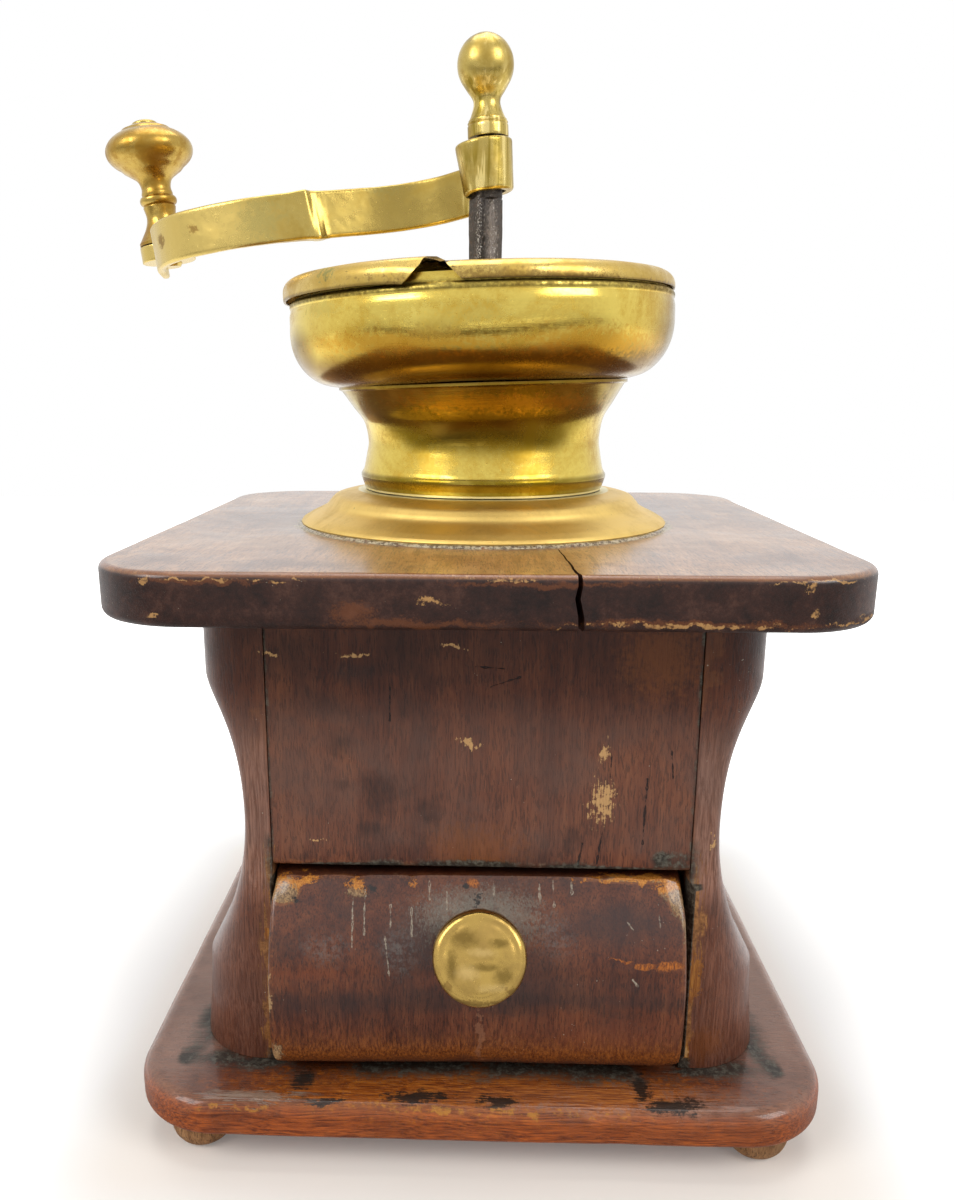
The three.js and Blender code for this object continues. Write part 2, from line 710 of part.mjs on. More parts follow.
const coneTop = flangeTopBurr - 1.5;
const coneFoot = burrFoot + 0.5;
const spindleFoot = coneFoot - seat - coneNutHeight - 1.5;
const tangFoot = hubCentre - hubLength / 2 - 1.2;
const tangTop = hubCentre + hubLength / 2 - 0.6;
const journalTop = ringLevel + seat + bridgeThick + bridgeBossRise + 3;

function spindle() {
  return loft([
    roundRing(coneThreadR * 0.5, spindleFoot), roundRing(coneThreadR, spindleFoot + 1.2),
    roundRing(coneThreadR, coneFoot - seat), barRing(coneSeatFlats, coneSeatCorners, coneFoot - seat + 0.2),
    barRing(coneSeatFlats, coneSeatCorners, coneTop + seat), roundRing(shoulderR, coneTop + seat + 0.05),
    roundRing(shoulderR, coneTop + seat + shoulderLength), roundRing(spindleR, coneTop + seat + shoulderLength + 0.05),
    roundRing(spindleR, journalTop), barRing(spindleFlats, spindleFlats, journalTop + 4),
    barRing(spindleFlats, spindleFlats, tangFoot - 0.8), barRing(tangFlats, tangCorners, tangFoot),
    barRing(tangFlats, tangCorners, tangTop), roundRing(studR, tangTop + 0.05),
    roundRing(studR, tangTop + studLength - 0.6), roundRing(studR - 0.6, tangTop + studLength),
  ]);
}

// Crank: hub, curved strap with its knuckle, and the boss under the knob.
// It is drawn level, then dropped by the droop about the hub's centre.

const crankFrame = new THREE.Matrix4()
  .makeTranslation(0, 0, hubCentre)
  .multiply(new THREE.Matrix4().makeRotationY(THREE.MathUtils.degToRad(-crankDroop)));
const strapTop = hubLength / 2 - strapTopDrop;
const bossTop = strapTop - bossTopDrop;

// Plan of the strap's middle line, from the hub's back to the boss
function strapLine() {
  const root = strapRootR * Math.SQRT1_2;
  const marks = [[-root, root], [-15, 12], [-30, 13.2], [-knuckleReach, 6.4], [-70, 2.4],
    [-bossReachX + 15.5, 8.4], [-bossReachX + 4.6, bossReachY - 26], [-bossReachX, bossReachY - bossR + 1.5]];
  return new THREE.SplineCurve(marks.map(([x, y]) => new THREE.Vector2(x, y)));
}

// How far the strap's front stands out beside its knuckle
function knuckleHeight(x) {
  const bead = (x + knuckleReach) / knuckleBeadHalf;
  const ridge = (x + knuckleReach + knuckleRidgeGap) / (knuckleBeadHalf * 0.45);
  return knuckleBead * Math.exp(-bead * bead) + knuckleRidge * Math.exp(-ridge * ridge);
}

function strap() {
  const line = strapLine();
  const steps = 90;
  const front = [];
  const back = [];
  for (let i = 0; i <= steps; i += 1) {
    const p = line.getPointAt(i / steps);
    const t = line.getTangentAt(i / steps);
    const bump = knuckleHeight(p.x);
    const near = Math.abs(p.x + knuckleReach) < 3 * knuckleBeadHalf;
    if (!near && i % 3 !== 0) continue;
    front.push([p.x - t.y * (strapThick / 2 + bump), p.y + t.x * (strapThick / 2 + bump)]);
    back.push([p.x + t.y * (strapThick / 2 + bump * 0.5), p.y - t.x * (strapThick / 2 + bump * 0.5)]);
  }
  return plate([...front, ...back.reverse()], strapTop - strapHeight, strapTop);
}

function crankArm() {
  const half = hubLength / 2;
  const hub = turned([[0, -half], [hubFootR - hubEdge, -half], [hubFootR, -half + hubEdge],
    [hubTopR, half - hubEdge], [hubTopR - hubEdge, half], [0, half]], 32);
  const boss = rod(bossR, bossTop - bossHeight, bossTop, -bossReachX, bossReachY, 32);
  const level = join(hub, strap(), boss);
  const drilled = cut(level,
    rod(pinR + seat, bossTop - bossHeight - 1, bossTop + 1, -bossReachX, bossReachY, 16),
    rod(knobCollarR + runClear + seat, bossTop, strapTop + 1, -bossReachX, bossReachY, 32));
  const placed = drilled.applyMatrix4(crankFrame);
  const low = hubCentre - hubLength;
  const socket = loft([tangFlats, tangFlats].map((f, i) => barRing(f + 2 * socketClear,
    tangCorners + 2 * socketClear, i === 0 ? low : hubCentre + hubLength)));
  const mouthTop = hubCentre - half + socketMouthDepth;
  const mouth = loft([low, mouthTop].map((z) => barRing(tangFlats + 2 * (socketClear + socketMouth),
    tangCorners + 2 * (socketClear + 0.4), z)));
  return cut(placed, socket, mouth);
}

// Crank knob: cap, stem, bead and flared collar, bored for its pin

function crankKnob() {
  const bore = pinR + runClear;
  const z = bossTop + seat;
  const cap = z + knobCapRise;
  const bead = z + knobBeadRise;
  const outline = [[bore, z], [knobCollarR, z], [knobCollarR, z + 0.9],
    ...through([[knobCollarR - 0.9, z + 2.2], [knobStemR + 0.9, z + 5.4], [knobStemR, z + 8.4],
      [knobStemR + 0.5, bead - 2]], 4),
    ...arc(knobBeadR - 1.2, bead, 1.2, 1.4, -70, 70, 2),
    ...through([[knobStemR + 0.3, bead + 2.2], [knobStemR, bead + 4], [knobStemR + 1, bead + 6.6],
      [knobStemR + 4.4, cap - knobCapHalf + 1.2]], 4),
    ...arc(0, cap, knobCapR, knobCapHalf, -42, 54, 6),
    [knobCapR * 0.55, z + knobHeight - 1.1], [knobCapR * 0.5, z + knobHeight - 0.9],
    [pinHeadR + 1, z + knobHeight], [bore, z + knobHeight], [bore, z]];
  return turned(outline, 24);
}

function knobPin() {
  const low = bossTop - bossHeight - seat;
  const high = bossTop + seat + knobHeight + seat;
  return turned([[0, low - pinHeadHeight], [pinHeadR - 0.6, low - pinHeadHeight], [pinHeadR, low - 0.5],
    [pinHeadR, low], [pinR, low], [pinR, high], [pinHeadR, high],
    ...arc(0, high + 0.2, pinHeadR, pinHeadHeight - 0.2, 0, 90, 4)], 20);
}

// Finial nut on the spindle's stud

function finialNut() {
  const bore = studR + finialBoreClear;
  const depth = studLength + 1.2;
  const ballHalf = finialHeight - finialBallRise;
  const outline = [[0, depth], [bore, depth], [bore, 0], [finialFootR, 0],
    ...through([[finialFootR, 0.8], [finialFootR - 0.3, 3], [finialNeckR + 0.8, 5.2]], 4),
    [finialNeckR + 1, 5.5], [finialNeckR + 0.4, 6], [finialNeckR, finialNeckRise],
    ...through([[finialNeckR + 0.1, finialNeckRise + 1.2], [finialNeckR + 1.4, finialBallRise - 6.4]], 3),
    ...arc(0, finialBallRise, finialBallR, ballHalf, -36, 90, 8)];
  return turned(outline, 24);
}

// Grinding set

function hexNut(radius, bore, z0, height, x = 0, y = 0) {
  const nut = rod(radius, z0, z0 + height, x, y, 6);
  return cut(nut, rod(bore, z0 - 1, z0 + height + 1, x, y, 16));
}

function bearingBridge() {
  const z = ringLevel + seat;
  const half = bridgeLength / 2;
  const nose = bridgeWidth / 2;
  const bar = plate([...arc(half - nose, 0, nose, nose, -90, 90, 8), ...arc(-half + nose, 0, nose, nose, 90, 270, 8)],
    z, z + bridgeThick);
  const boss = rod(bridgeBossR, z, z + bridgeThick + bridgeBossRise, 0, 0, 28);
  const holes = [-1, 1].map((s) => rod(boltR + seat, z - 1, z + bridgeThick + 1, s * boltSpread / 2, 0, 12));
  return cut(join(bar, boss), rod(spindleR + runClear, z - 1, z + 20, 0, 0, 24), ...holes);
}

const yokeTop = flangeTopBurr - ringFlangeThick - seat;
const boltNutTop = yokeTop - yokeThick - seat;
const boltEnd = boltNutTop - nutHeight - 1.5;

function clampBolt(side) {
  const head = ringLevel + seat + bridgeThick + seat;
  const shank = rod(boltR, boltEnd, head + 1, 0, 0, 12);
  const cap = rod(boltHeadR, head, head + boltHeadHeight, 0, 0, 6);
  return join(shank, cap).translate(side * boltSpread / 2, 0, 0);
}

// Ring of saw teeth with a straight tip and a lower root
function toothRing(tip, root, teeth, turn, z) {
  const ring = [];
  for (let i = 0; i < teeth; i += 1) {
    for (const [part, radius] of [[0, tip], [0.28, tip], [0.46, root], [0.8, root]]) {
      const a = 2 * Math.PI * (i + part) / teeth + turn;
      ring.push(new THREE.Vector3(radius * Math.cos(a), radius * Math.sin(a), z));
    }
  }
  return ring;
}

function burrRing() {
  const top = flangeTopBurr;
  const body = turned([[0, top], [ringFlangeR, top], [ringFlangeR, top - ringFlangeThick],
    [ringBodyR, top - ringFlangeThick], [ringFootR, burrFoot], [0, burrFoot]], 40);
  const rings = [];
  const levels = 8;
  for (let i = 0; i <= levels; i += 1) {
    const share = i / levels;
    const z = top + 1 - (ringLength + 2) * share;
    const tip = ringMouthR + (ringExitR - ringMouthR) * Math.sqrt(share);
    const turn = THREE.MathUtils.degToRad(-toothTwist * share);
    rings.push(toothRing(tip, tip + ringToothDepth * (1 - 0.4 * share), ringTeeth, turn, z));
  }
  const holes = [-1, 1].map((s) => rod(boltR + seat, top - ringFlangeThick - 1, top + 1, s * boltSpread / 2, 0, 12));
  return cut(body, loft(rings), ...holes);
}

function burrCone() {
  const rings = [];
  const levels = 8;
  const exit = ringExitR - burrGap;
  for (let i = 0; i <= levels; i += 1) {
    const share = i / levels;
    const z = coneTop - (coneTop - coneFoot) * share;
    const tip = coneTopR + (exit - coneTopR) * Math.pow(share, 0.8);
    const turn = THREE.MathUtils.degToRad(toothTwist * share);
    rings.push(toothRing(tip, tip - coneToothDepth * (1 - 0.4 * share), coneTeeth, turn, z));
  }
  const hole = loft([coneFoot - 1, coneTop + 1].map((z) => barRing(coneSeatFlats + 2 * seat,
    coneSeatCorners + 2 * seat, z)));
  return cut(loft(rings.reverse()), hole);
}

const crossTop = flangeTopBurr - yokeDrop;

function lowerYoke() {
  const x = yokeInnerWidth / 2;
  const half = yokeWidth / 2;
  const ear = ringBodyR + yokeEarGap;
  const legs = [-1, 1].flatMap((s) => [
    block(Math.min(s * ear, s * (x + yokeThick)), Math.max(s * ear, s * (x + yokeThick)), -half, half,
      yokeTop - yokeThick, yokeTop),
    block(Math.min(s * x, s * (x + yokeThick)), Math.max(s * x, s * (x + yokeThick)), -half, half,
      crossTop - yokeThick, yokeTop),
  ]);
  const cross = block(-x - yokeThick, x + yokeThick, -half, half, crossTop - yokeThick, crossTop);
  const boss = rod(yokeBossR, crossTop - yokeThick - yokeBossDrop, crossTop, 0, 0, 24);
  const holes = [-1, 1].map((s) => rod(boltR + seat, yokeTop - yokeThick - 1, yokeTop + 1, s * boltSpread / 2, 0, 12));
  const bore = rod(adjustR + runClear, crossTop - 20, crossTop + 1, 0, 0, 20);
  return cut(join(cross, ...legs, boss), ...holes, bore);
}

const adjustTop = spindleFoot - seat;
const lockTop = crossTop - yokeThick - yokeBossDrop - seat;
const lockHeight = 3.2;

function adjustingScrew() {
  const low = adjustTop - adjustLength;
  const shank = rod(adjustR, low, adjustTop, 0, 0, 20);
  const wing = block(-adjustWingSpan / 2, adjustWingSpan / 2, -adjustWingThick / 2, adjustWingThick / 2,
    low - adjustWingHeight, low + 0.5);
  const root = turned([[0, low - 2], [adjustR + 1.4, low - 2], [adjustR + 1.4, low + 1], [0, low + 2]], 20);
  return join(shank, wing, root);
}

// Scene graph

const grinder = new THREE.Group();

function add(name, geometry, material, parent = grinder) {
  const mesh = new THREE.Mesh(closed(geometry), material);
  mesh.name = name;
  parent.add(mesh);
  return mesh;
}

add('base_board', baseBoard(), mahogany);
for (const [name, sx, sy] of corners) {
  add(`foot_${name}`, foot(), rawWood).position.set(sx * footX, sy * footY, 0);
  add(`case_screw_${name}`, caseScrew(), iron).position.set(sx * screwX, sy * screwY, 0);
}
add('case_side_left', sideBoard(-1), mahogany);
add('case_side_right', sideBoard(1), mahogany);
add('case_front_panel', frontPanel(), mahogany);
add('case_back_panel', backPanel(), mahogany);
add('top_board', topBoard(), boardTop);

add('drawer_front', drawerFront(), mahogany);
add('drawer_side_left', drawerSide(-1), rawWood);
add('drawer_side_right', drawerSide(1), rawWood);
add('drawer_floor', drawerFloor(), rawWood);
add('drawer_back', drawerBack(), rawWood);
add('drawer_knob', drawerKnob(), brass);

add('hopper_flange', hopperFlange(), dullBrass);
add('hopper_neck', hopperNeck(), brass);
add('hopper_bowl', hopperBowl(), brass);
const lid = new THREE.Group();
lid.applyMatrix4(leanFrame.clone().multiply(
  new THREE.Matrix4().makeRotationZ(THREE.MathUtils.degToRad(lidSplitAngle))));
grinder.add(lid);
add('lid_fixed_half', lidFixedHalf(), brass, lid);
add('lid_swing_half', lidSwingHalf(), brass, lid);

add('bearing_bridge', bearingBridge(), iron);
for (const [side, s] of [['left', -1], ['right', 1]]) {
  add(`clamp_bolt_${side}`, clampBolt(s), steel);
  add(`clamp_nut_${side}`, hexNut(nutR, boltR + seat, boltNutTop - nutHeight, nutHeight, s * boltSpread / 2), steel);
}
add('burr_ring', burrRing(), iron);
add('burr_cone', burrCone(), iron);
add('cone_nut', hexNut(coneNutR, coneThreadR + seat, coneFoot - seat - coneNutHeight, coneNutHeight), steel);
add('lower_yoke', lowerYoke(), iron);
add('adjusting_screw', adjustingScrew(), steel);
add('lock_nut', hexNut(coneNutR, adjustR + runClear, lockTop - lockHeight, lockHeight), steel);

add('spindle', spindle(), iron);
add('crank_arm', crankArm(), brass);
const crank = new THREE.Group();
crank.applyMatrix4(crankFrame);
grinder.add(crank);
add('crank_knob', crankKnob(), brass, crank).position.set(-bossReachX, bossReachY, 0);
add('knob_pin', knobPin(), brass, crank).position.set(-bossReachX, bossReachY, 0);
const finial = add('finial_nut', finialNut(), brass);
const hubTopRise = finialFootR * Math.sin(THREE.MathUtils.degToRad(crankDroop));
finial.position.set(finialShift, 0, hubCentre + hubLength / 2 + hubTopRise + seat);
finial.rotation.y = THREE.MathUtils.degToRad(-finialLean);

export default grinder;
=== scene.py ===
# An old box coffee mill: wooden case on four turned feet, brass hopper, S-bent crank.
# Lengths are millimetres in the part's own frame: +Z up, the drawer towards -Y.

import math
from functools import partial
from types import SimpleNamespace

import bpy
import bmesh
import numpy as np
from mathutils import Matrix, Vector


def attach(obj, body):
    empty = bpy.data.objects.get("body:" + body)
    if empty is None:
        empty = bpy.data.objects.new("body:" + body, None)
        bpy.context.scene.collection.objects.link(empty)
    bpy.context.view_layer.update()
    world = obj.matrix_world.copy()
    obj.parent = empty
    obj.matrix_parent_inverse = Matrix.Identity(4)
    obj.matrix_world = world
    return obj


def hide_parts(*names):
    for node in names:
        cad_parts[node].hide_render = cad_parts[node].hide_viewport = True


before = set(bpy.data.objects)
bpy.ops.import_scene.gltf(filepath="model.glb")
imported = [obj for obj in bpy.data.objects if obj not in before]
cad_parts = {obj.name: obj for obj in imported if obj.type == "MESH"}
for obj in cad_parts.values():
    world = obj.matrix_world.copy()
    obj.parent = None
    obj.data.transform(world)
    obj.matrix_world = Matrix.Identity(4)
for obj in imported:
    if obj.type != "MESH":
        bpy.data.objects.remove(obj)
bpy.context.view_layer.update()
scene = bpy.context.scene
print("frame loaded,", len(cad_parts), "nodes")


# Smooth value noise on points, the same on every machine
def valueNoise(points, size, seed=0):
    scaled = np.asarray(points, float) / size
    cell = np.floor(scaled).astype(np.int64)
    t = scaled - cell
    t = t * t * t * (t * (t * 6 - 15) + 10)
    total = np.zeros(len(scaled))
    for corner in range(8):
        step = np.array([corner & 1, corner >> 1 & 1, corner >> 2 & 1])
        at = cell + step
        h = (at[:, 0] * 73856093) ^ (at[:, 1] * 19349663) ^ (at[:, 2] * 83492791) ^ (seed * 2654435)
        h = ((h ^ (h >> 13)) & 0xffffffff) * 1274126177 & 0xffffffff
        value = ((h ^ (h >> 16)) & 0xffffff) / 0xffffff * 2 - 1
        total += np.prod(np.where(step == 1, t, 1 - t), axis=1) * value
    return total


def layeredNoise(points, size, layers=3, seed=0):
    total = 0
    for i in range(layers):
        total = total + valueNoise(points, size / 2 ** i, seed + 17 * i) / 2 ** i
    return total / (2 - 0.5 ** (layers - 1))


def smoothStep(value, low, high):
    t = np.clip((np.asarray(value, float) - low) / (high - low), 0, 1)
    return t * t * (3 - 2 * t)


# Outlines, as lists of [across, up]
def arc(cx, cy, rx, ry, start, end, steps):
    turn = np.radians(np.linspace(start, end, steps + 1))
    return [[cx + rx * math.cos(a), cy + ry * math.sin(a)] for a in turn]


def through(marks, steps):  # smooth curve through a few marks
    marks = [np.array(m, float) for m in marks]
    last = len(marks) - 1
    points = []
    for i in range(steps + 1):
        spot = last * i / steps
        k = min(int(spot), last - 1)
        t = spot - k
        a, b = marks[max(k - 1, 0)], marks[k]
        c, d = marks[k + 1], marks[min(k + 2, last)]
        u, v = (c - a) / 2, (d - b) / 2
        points.append(list((2 * b - 2 * c + u + v) * t ** 3 + (-3 * b + 3 * c - 2 * u - v) * t ** 2 + u * t
                           + b))
    return points


def bezier(marks, steps):
    marks = np.array(marks, float)
    t = np.linspace(0, 1, steps + 1)[:, None]
    n = len(marks) - 1
    return list(sum(math.comb(n, k) * (1 - t) ** (n - k) * t ** k * marks[k] for k in range(n + 1)))


def densify(outline, step, closed=False):  # no edge longer than the step
    points = []
    ends = list(outline) + ([outline[0]] if closed else [])
    for a, b in zip(ends[:-1], ends[1:]):
        a, b = np.array(a, float), np.array(b, float)
        count = max(1, math.ceil(np.linalg.norm(b - a) / step))
        points += [list(a + (b - a) * k / count) for k in range(count)]
    return points if closed else points + [list(ends[-1])]


def sheetOutline(outer, wall):  # the outer line and the same line moved in by the wall
    low, high = sorted([outer[0][1], outer[-1][1]])
    inner = []
    for i, (x, y) in enumerate(outer):
        before, after = outer[max(i - 1, 0)], outer[min(i + 1, len(outer) - 1)]
        along = math.hypot(after[0] - before[0], after[1] - before[1]) or 1
        inner.append([x - wall * (after[1] - before[1]) / along,
                      min(max(y + wall * (after[0] - before[0]) / along, low), high)])
    return list(outer) + inner[::-1]


# Mesh making
def newMesh(name, points, faces, edges=()):
    mesh = bpy.data.meshes.new(name)
    mesh.from_pydata((np.asarray(points, float) / 1000).tolist(), list(edges), faces)
    mesh.update()
    return mesh


def pointsOf(mesh):
    flat = np.empty(len(mesh.vertices) * 3)
    mesh.vertices.foreach_get("co", flat)
    return flat.reshape(-1, 3) * 1000


def normalsOf(mesh):
    flat = np.empty(len(mesh.vertices) * 3)
    mesh.vertex_normals.foreach_get("vector", flat)
    return flat.reshape(-1, 3)


def setPoints(mesh, points):
    mesh.vertices.foreach_set("co", (np.asarray(points) / 1000).ravel())
    mesh.update()


def loft(rings, loop=False):
    rings = [np.asarray(r, float) for r in rings]
    count = len(rings[0])
    faces = []
    for i in range(len(rings) if loop else len(rings) - 1):
        a, b = i * count, (i + 1) % len(rings) * count
        faces += [(a + j, a + (j + 1) % count, b + (j + 1) % count, b + j) for j in range(count)]
    if not loop:
        faces += [tuple(range(count))[::-1], tuple((len(rings) - 1) * count + j for j in range(count))]
    return np.vstack(rings), faces


def level(flat, height):
    return np.c_[flat, np.full(len(flat), height)]


def barAlong(axis, outline, stops, edge=0.0):
    # An outline drawn along an axis; its ends are rounded over by the edge
    outline = np.array(outline, float)
    centre = (outline.max(0) + outline.min(0)) / 2
    half = (outline.max(0) - outline.min(0)) / 2
    rings = []
    for at in stops:
        near = min(at - stops[0], stops[-1] - at)
        inset = edge * (1 - math.sqrt(max(0, 1 - max(0, 1 - near / edge) ** 2))) if edge else 0
        flat = centre + (outline - centre) * (half - inset) / half
        rings.append(np.insert(flat, axis, at, axis=1))
    return loft(rings)


def rightWayOut(mesh):
    work = bmesh.new()
    work.from_mesh(mesh)
    bmesh.ops.dissolve_degenerate(work, edges=work.edges, dist=1e-8)
    bmesh.ops.recalc_face_normals(work, faces=work.faces)
    work.to_mesh(mesh)
    work.free()
    mesh.update()


def solid(name, lofted):
    mesh = newMesh(name, *lofted)
    rightWayOut(mesh)
    return mesh


def evaluated(obj, name):  # the finished mesh of an object with live modifiers
    graph = bpy.context.evaluated_depsgraph_get()
    mesh = bpy.data.meshes.new_from_object(obj.evaluated_get(graph), depsgraph=graph)
    mesh.name = name
    bpy.data.objects.remove(obj)
    return mesh


def place(name, mesh):
    obj = bpy.data.objects.new(name, mesh)
    scene.collection.objects.link(obj)
    return obj


def cutAway(mesh, cutters):
    obj = place("cutting", mesh)
    tools = [place("cutter", cutter) for cutter in cutters]
    for tool in tools:
        change = obj.modifiers.new("cut", "BOOLEAN")
        change.operation = "DIFFERENCE"
        change.solver = "EXACT"
        change.object = tool
    result = evaluated(obj, mesh.name)
    for tool in tools:
        bpy.data.objects.remove(tool)
    return result


def rodMesh(radii, heights, x=0, y=0, sides=32):
    turn = np.linspace(0, 2 * math.pi, sides, endpoint=False)
    rings = [level(np.c_[x + r * np.cos(turn), y + r * np.sin(turn)], h) for r, h in zip(radii, heights)]
    return newMesh("rod", *loft(rings))


def tilted(mesh, axis, degrees, at):
    turn = Matrix.Rotation(math.radians(degrees), 4, axis)
    turn.translation = Vector(at) / 1000
    mesh.transform(turn)


def joinInto(mesh, pieces):
    work = bmesh.new()
    for piece in pieces:
        work.from_mesh(piece)
    work.to_mesh(mesh)
    work.free()


def dent(points, normals, marks):  # each mark: centre, radius, depth
    for centre, radius, depth in marks:
        away = np.linalg.norm((points - np.array(centre)) / np.array(radius), axis=1)
        points = points - normals * (depth * np.exp(-away ** 2))[:, None]
    return points


def waver(mesh, amount, size, seed, marks=()):
    points, normals = pointsOf(mesh), normalsOf(mesh)
    points = dent(points, normals, marks)
    setPoints(mesh, points + normals * (amount * layeredNoise(points, size, 3, seed))[:, None])


def attribute(mesh, name, values):
    mesh.attributes.new(name, "FLOAT", "POINT").data.foreach_set("value", np.asarray(values, float))


def convexity(mesh):  # how sharply each point bends outwards, per millimetre
    work = bmesh.new()
    work.from_mesh(mesh)
    bend = np.zeros(len(work.verts))
    for edge in work.edges:
        if len(edge.link_faces) == 2:
            here, there = (face.calc_center_median() for face in edge.link_faces)
            sharp = edge.calc_face_angle_signed(0) / max((here - there).length * 1000, 0.25)
            for vert in edge.verts:
                bend[vert.index] = max(bend[vert.index], sharp)
    ends = np.array([[v.index for v in edge.verts] for edge in work.edges])
    work.free()
    for _ in range(2):
        total, count = bend.copy(), np.ones(len(bend))
        for a, b in (ends.T, ends.T[::-1]):
            np.add.at(total, a, bend[b])
            np.add.at(count, a, 1)
        bend = total / count
    return bend


def weather(mesh, rubbed=1.0, more=(), dirt=()):
    # Attributes for the wood: arrises and extra places worn, joints dirty. A place is centre, radii, amount.
    points = pointsOf(mesh)
    patchy = 0.75 + 0.6 * layeredNoise(points, 17, 3, 7)
    worn = rubbed * smoothStep(convexity(mesh), 0.05, 0.3) * np.clip(patchy, 0, 1.3)
    grime = np.zeros(len(points))
    for values, places in ((worn, more), (grime, dirt)):
        for centre, radii, amount in places:
            away = np.linalg.norm((points - np.array(centre)) / np.array(radii), axis=1)
            values[:] = np.maximum(values, amount * smoothStep(away, 1.15, 0.6))
    attribute(mesh, "worn", worn)
    attribute(mesh, "grime", grime * (0.8 + 0.5 * layeredNoise(points, 6, 2, 8)))


def nearBox(points, x, y, reach):  # 1 at the walls of an upright box, 0 beyond the reach
    dx, dy = abs(points[:, 0]) - x, abs(points[:, 1]) - y
    away = np.hypot(np.maximum(dx, 0), np.maximum(dy, 0)) + np.minimum(np.maximum(dx, dy), 0)
    return smoothStep(abs(away), reach, reach * 0.25)


def soil(mesh, amount):
    found = mesh.attributes["grime"].data
    before = np.empty(len(found))
    found.foreach_get("value", before)
    found.foreach_set("value", np.maximum(before, amount))


def finish(name, mesh, body, nodes, material, angle=32):
    mesh.name = name
    mesh.materials.clear()
    mesh.materials.append(material)
    mesh.polygons.foreach_set("use_smooth", [True] * len(mesh.polygons))
    mesh.polygons.foreach_set("material_index", [0] * len(mesh.polygons))
    mesh.set_sharp_from_angle(angle=math.radians(angle))
    obj = place(name, mesh)
    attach(obj, body)
    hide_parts(*nodes)


# Geometry Nodes trees: named inputs, then linked nodes, then real geometry with its finish
def startTree(name, inputs):
    tree = bpy.data.node_groups.new(name, "GeometryNodeTree")
    for label, kind in {**inputs, "Finish": "Material"}.items():
        tree.interface.new_socket(label, in_out="INPUT", socket_type="NodeSocket" + kind)
    tree.interface.new_socket("Shape", in_out="OUTPUT", socket_type="NodeSocketGeometry")
    add = lambda kind, family="GeometryNode": tree.nodes.new(family + kind)
    return add, add("NodeGroupInput", "").outputs


def endTree(add, start, last, links):
    real, dressed, end = add("RealizeInstances"), add("SetMaterial"), add("NodeGroupOutput", "")
    tree = end.id_data
    for a, b in [*links, (last.outputs[0], real.inputs[0]), (real.outputs[0], dressed.inputs[0]),
                 (start["Finish"], dressed.inputs["Material"]), (dressed.outputs[0], end.inputs[0])]:
        tree.links.new(a, b)
    return tree


def shaped(name, mesh, tree, values):  # the mesh after a tree has worked on it
    obj = place(name, mesh)
    change = obj.modifiers.new(tree.name, "NODES")
    change.node_group = tree
    ids = {item.name: item.identifier for item in tree.interface.items_tree if item.in_out == "INPUT"}
    for label, value in values.items():
        change[ids[label]] = value
    return evaluated(obj, name)


def turnedTree():  # a profile drawn round the spindle's axis
    add, start = startTree("turnedShape", {"Profile": "Geometry", "Facets": "Int", "Path Radius": "Float",
                                           "Seam": "Float"})
    section, path, upright = map(add, ("MeshToCurve", "CurvePrimitiveCircle", "SetCurveNormal"))
    skin, weld = add("CurveToMesh"), add("MergeByDistance")
    upright.mode = "Z_UP"
    return endTree(add, start, weld, [
        (start["Profile"], section.inputs[0]), (start["Facets"], path.inputs["Resolution"]),
        (start["Path Radius"], path.inputs["Radius"]), (path.outputs[0], upright.inputs[0]),
        (upright.outputs[0], skin.inputs["Curve"]), (section.outputs[0], skin.inputs["Profile Curve"]),
        (skin.outputs[0], weld.inputs[0]), (start["Seam"], weld.inputs["Distance"])])


turnedShape = turnedTree()
# In metres: a profile is drawn from the path, and points nearer than the seam are joined
pathRadius, seam = 0.1, 2e-6


def chain(points):  # edges from each point to the next
    return [(i, i + 1) for i in range(len(points) - 1)]


def turned(name, outline, material, facets=144, loop=True):
    flat = [(r - pathRadius * 1000, -z, 0) for r, z in outline]
    edges = chain(flat) + ([(len(flat) - 1, 0)] if loop else [])
    mesh = shaped(name, newMesh(name, flat, [], edges), turnedShape,
                  {"Facets": facets, "Path Radius": pathRadius, "Seam": seam, "Finish": material})
    rightWayOut(mesh)
    return mesh


# Material building. Positions inside a material are millimetres on the object.
wiring = {"tree": None}  # the node tree that every helper below adds to


def startFinish(name):
    material = bpy.data.materials.new(name)
    material.use_nodes = True
    wiring["tree"] = material.node_tree
    return material, material.node_tree.nodes["Principled BSDF"]


def fill(target, inputs):  # each value is a socket to link, a colour or a plain value
    for key, value in dict(inputs).items():
        socket = target.inputs[key]
        if isinstance(value, bpy.types.NodeSocket):
            wiring["tree"].links.new(value, socket)
        elif isinstance(value, tuple) and len(value) == 3 and socket.type == "RGBA":
            socket.default_value = (*value, 1)
        else:
            socket.default_value = value


def node(kind, inputs=(), **settings):
    new = wiring["tree"].nodes.new("ShaderNode" + kind)
    for key, value in settings.items():
        setattr(new, key, value)
    fill(new, inputs)
    return new


def onObject():  # object coordinates in millimetres
    return vectorNode("SCALE", {0: node("TexCoord").outputs["Object"], "Scale": 1000.0}).outputs[0]


def stretched(vector, scale, move=(0, 0, 0), turn=(0, 0, 0)):
    return node("Mapping", {"Vector": vector, "Scale": scale, "Location": move, "Rotation": turn}).outputs[0]


def noise(vector, scale, detail=4.0, rough=0.55, bend=0.0):
    return node("TexNoise", {"Vector": vector, "Scale": scale, "Detail": detail, "Roughness": rough,
                             "Distortion": bend}).outputs["Fac"]


def maths(kind, a, b=0.0, c=0.0, clamp=False):
    return node("Math", {0: a, 1: b, 2: c}, operation=kind, use_clamp=clamp).outputs[0]


times, plus, minus, most, timesPlus, sizeOf = (
    partial(maths, kind) for kind in ("MULTIPLY", "ADD", "SUBTRACT", "MAXIMUM", "MULTIPLY_ADD", "ABSOLUTE"))


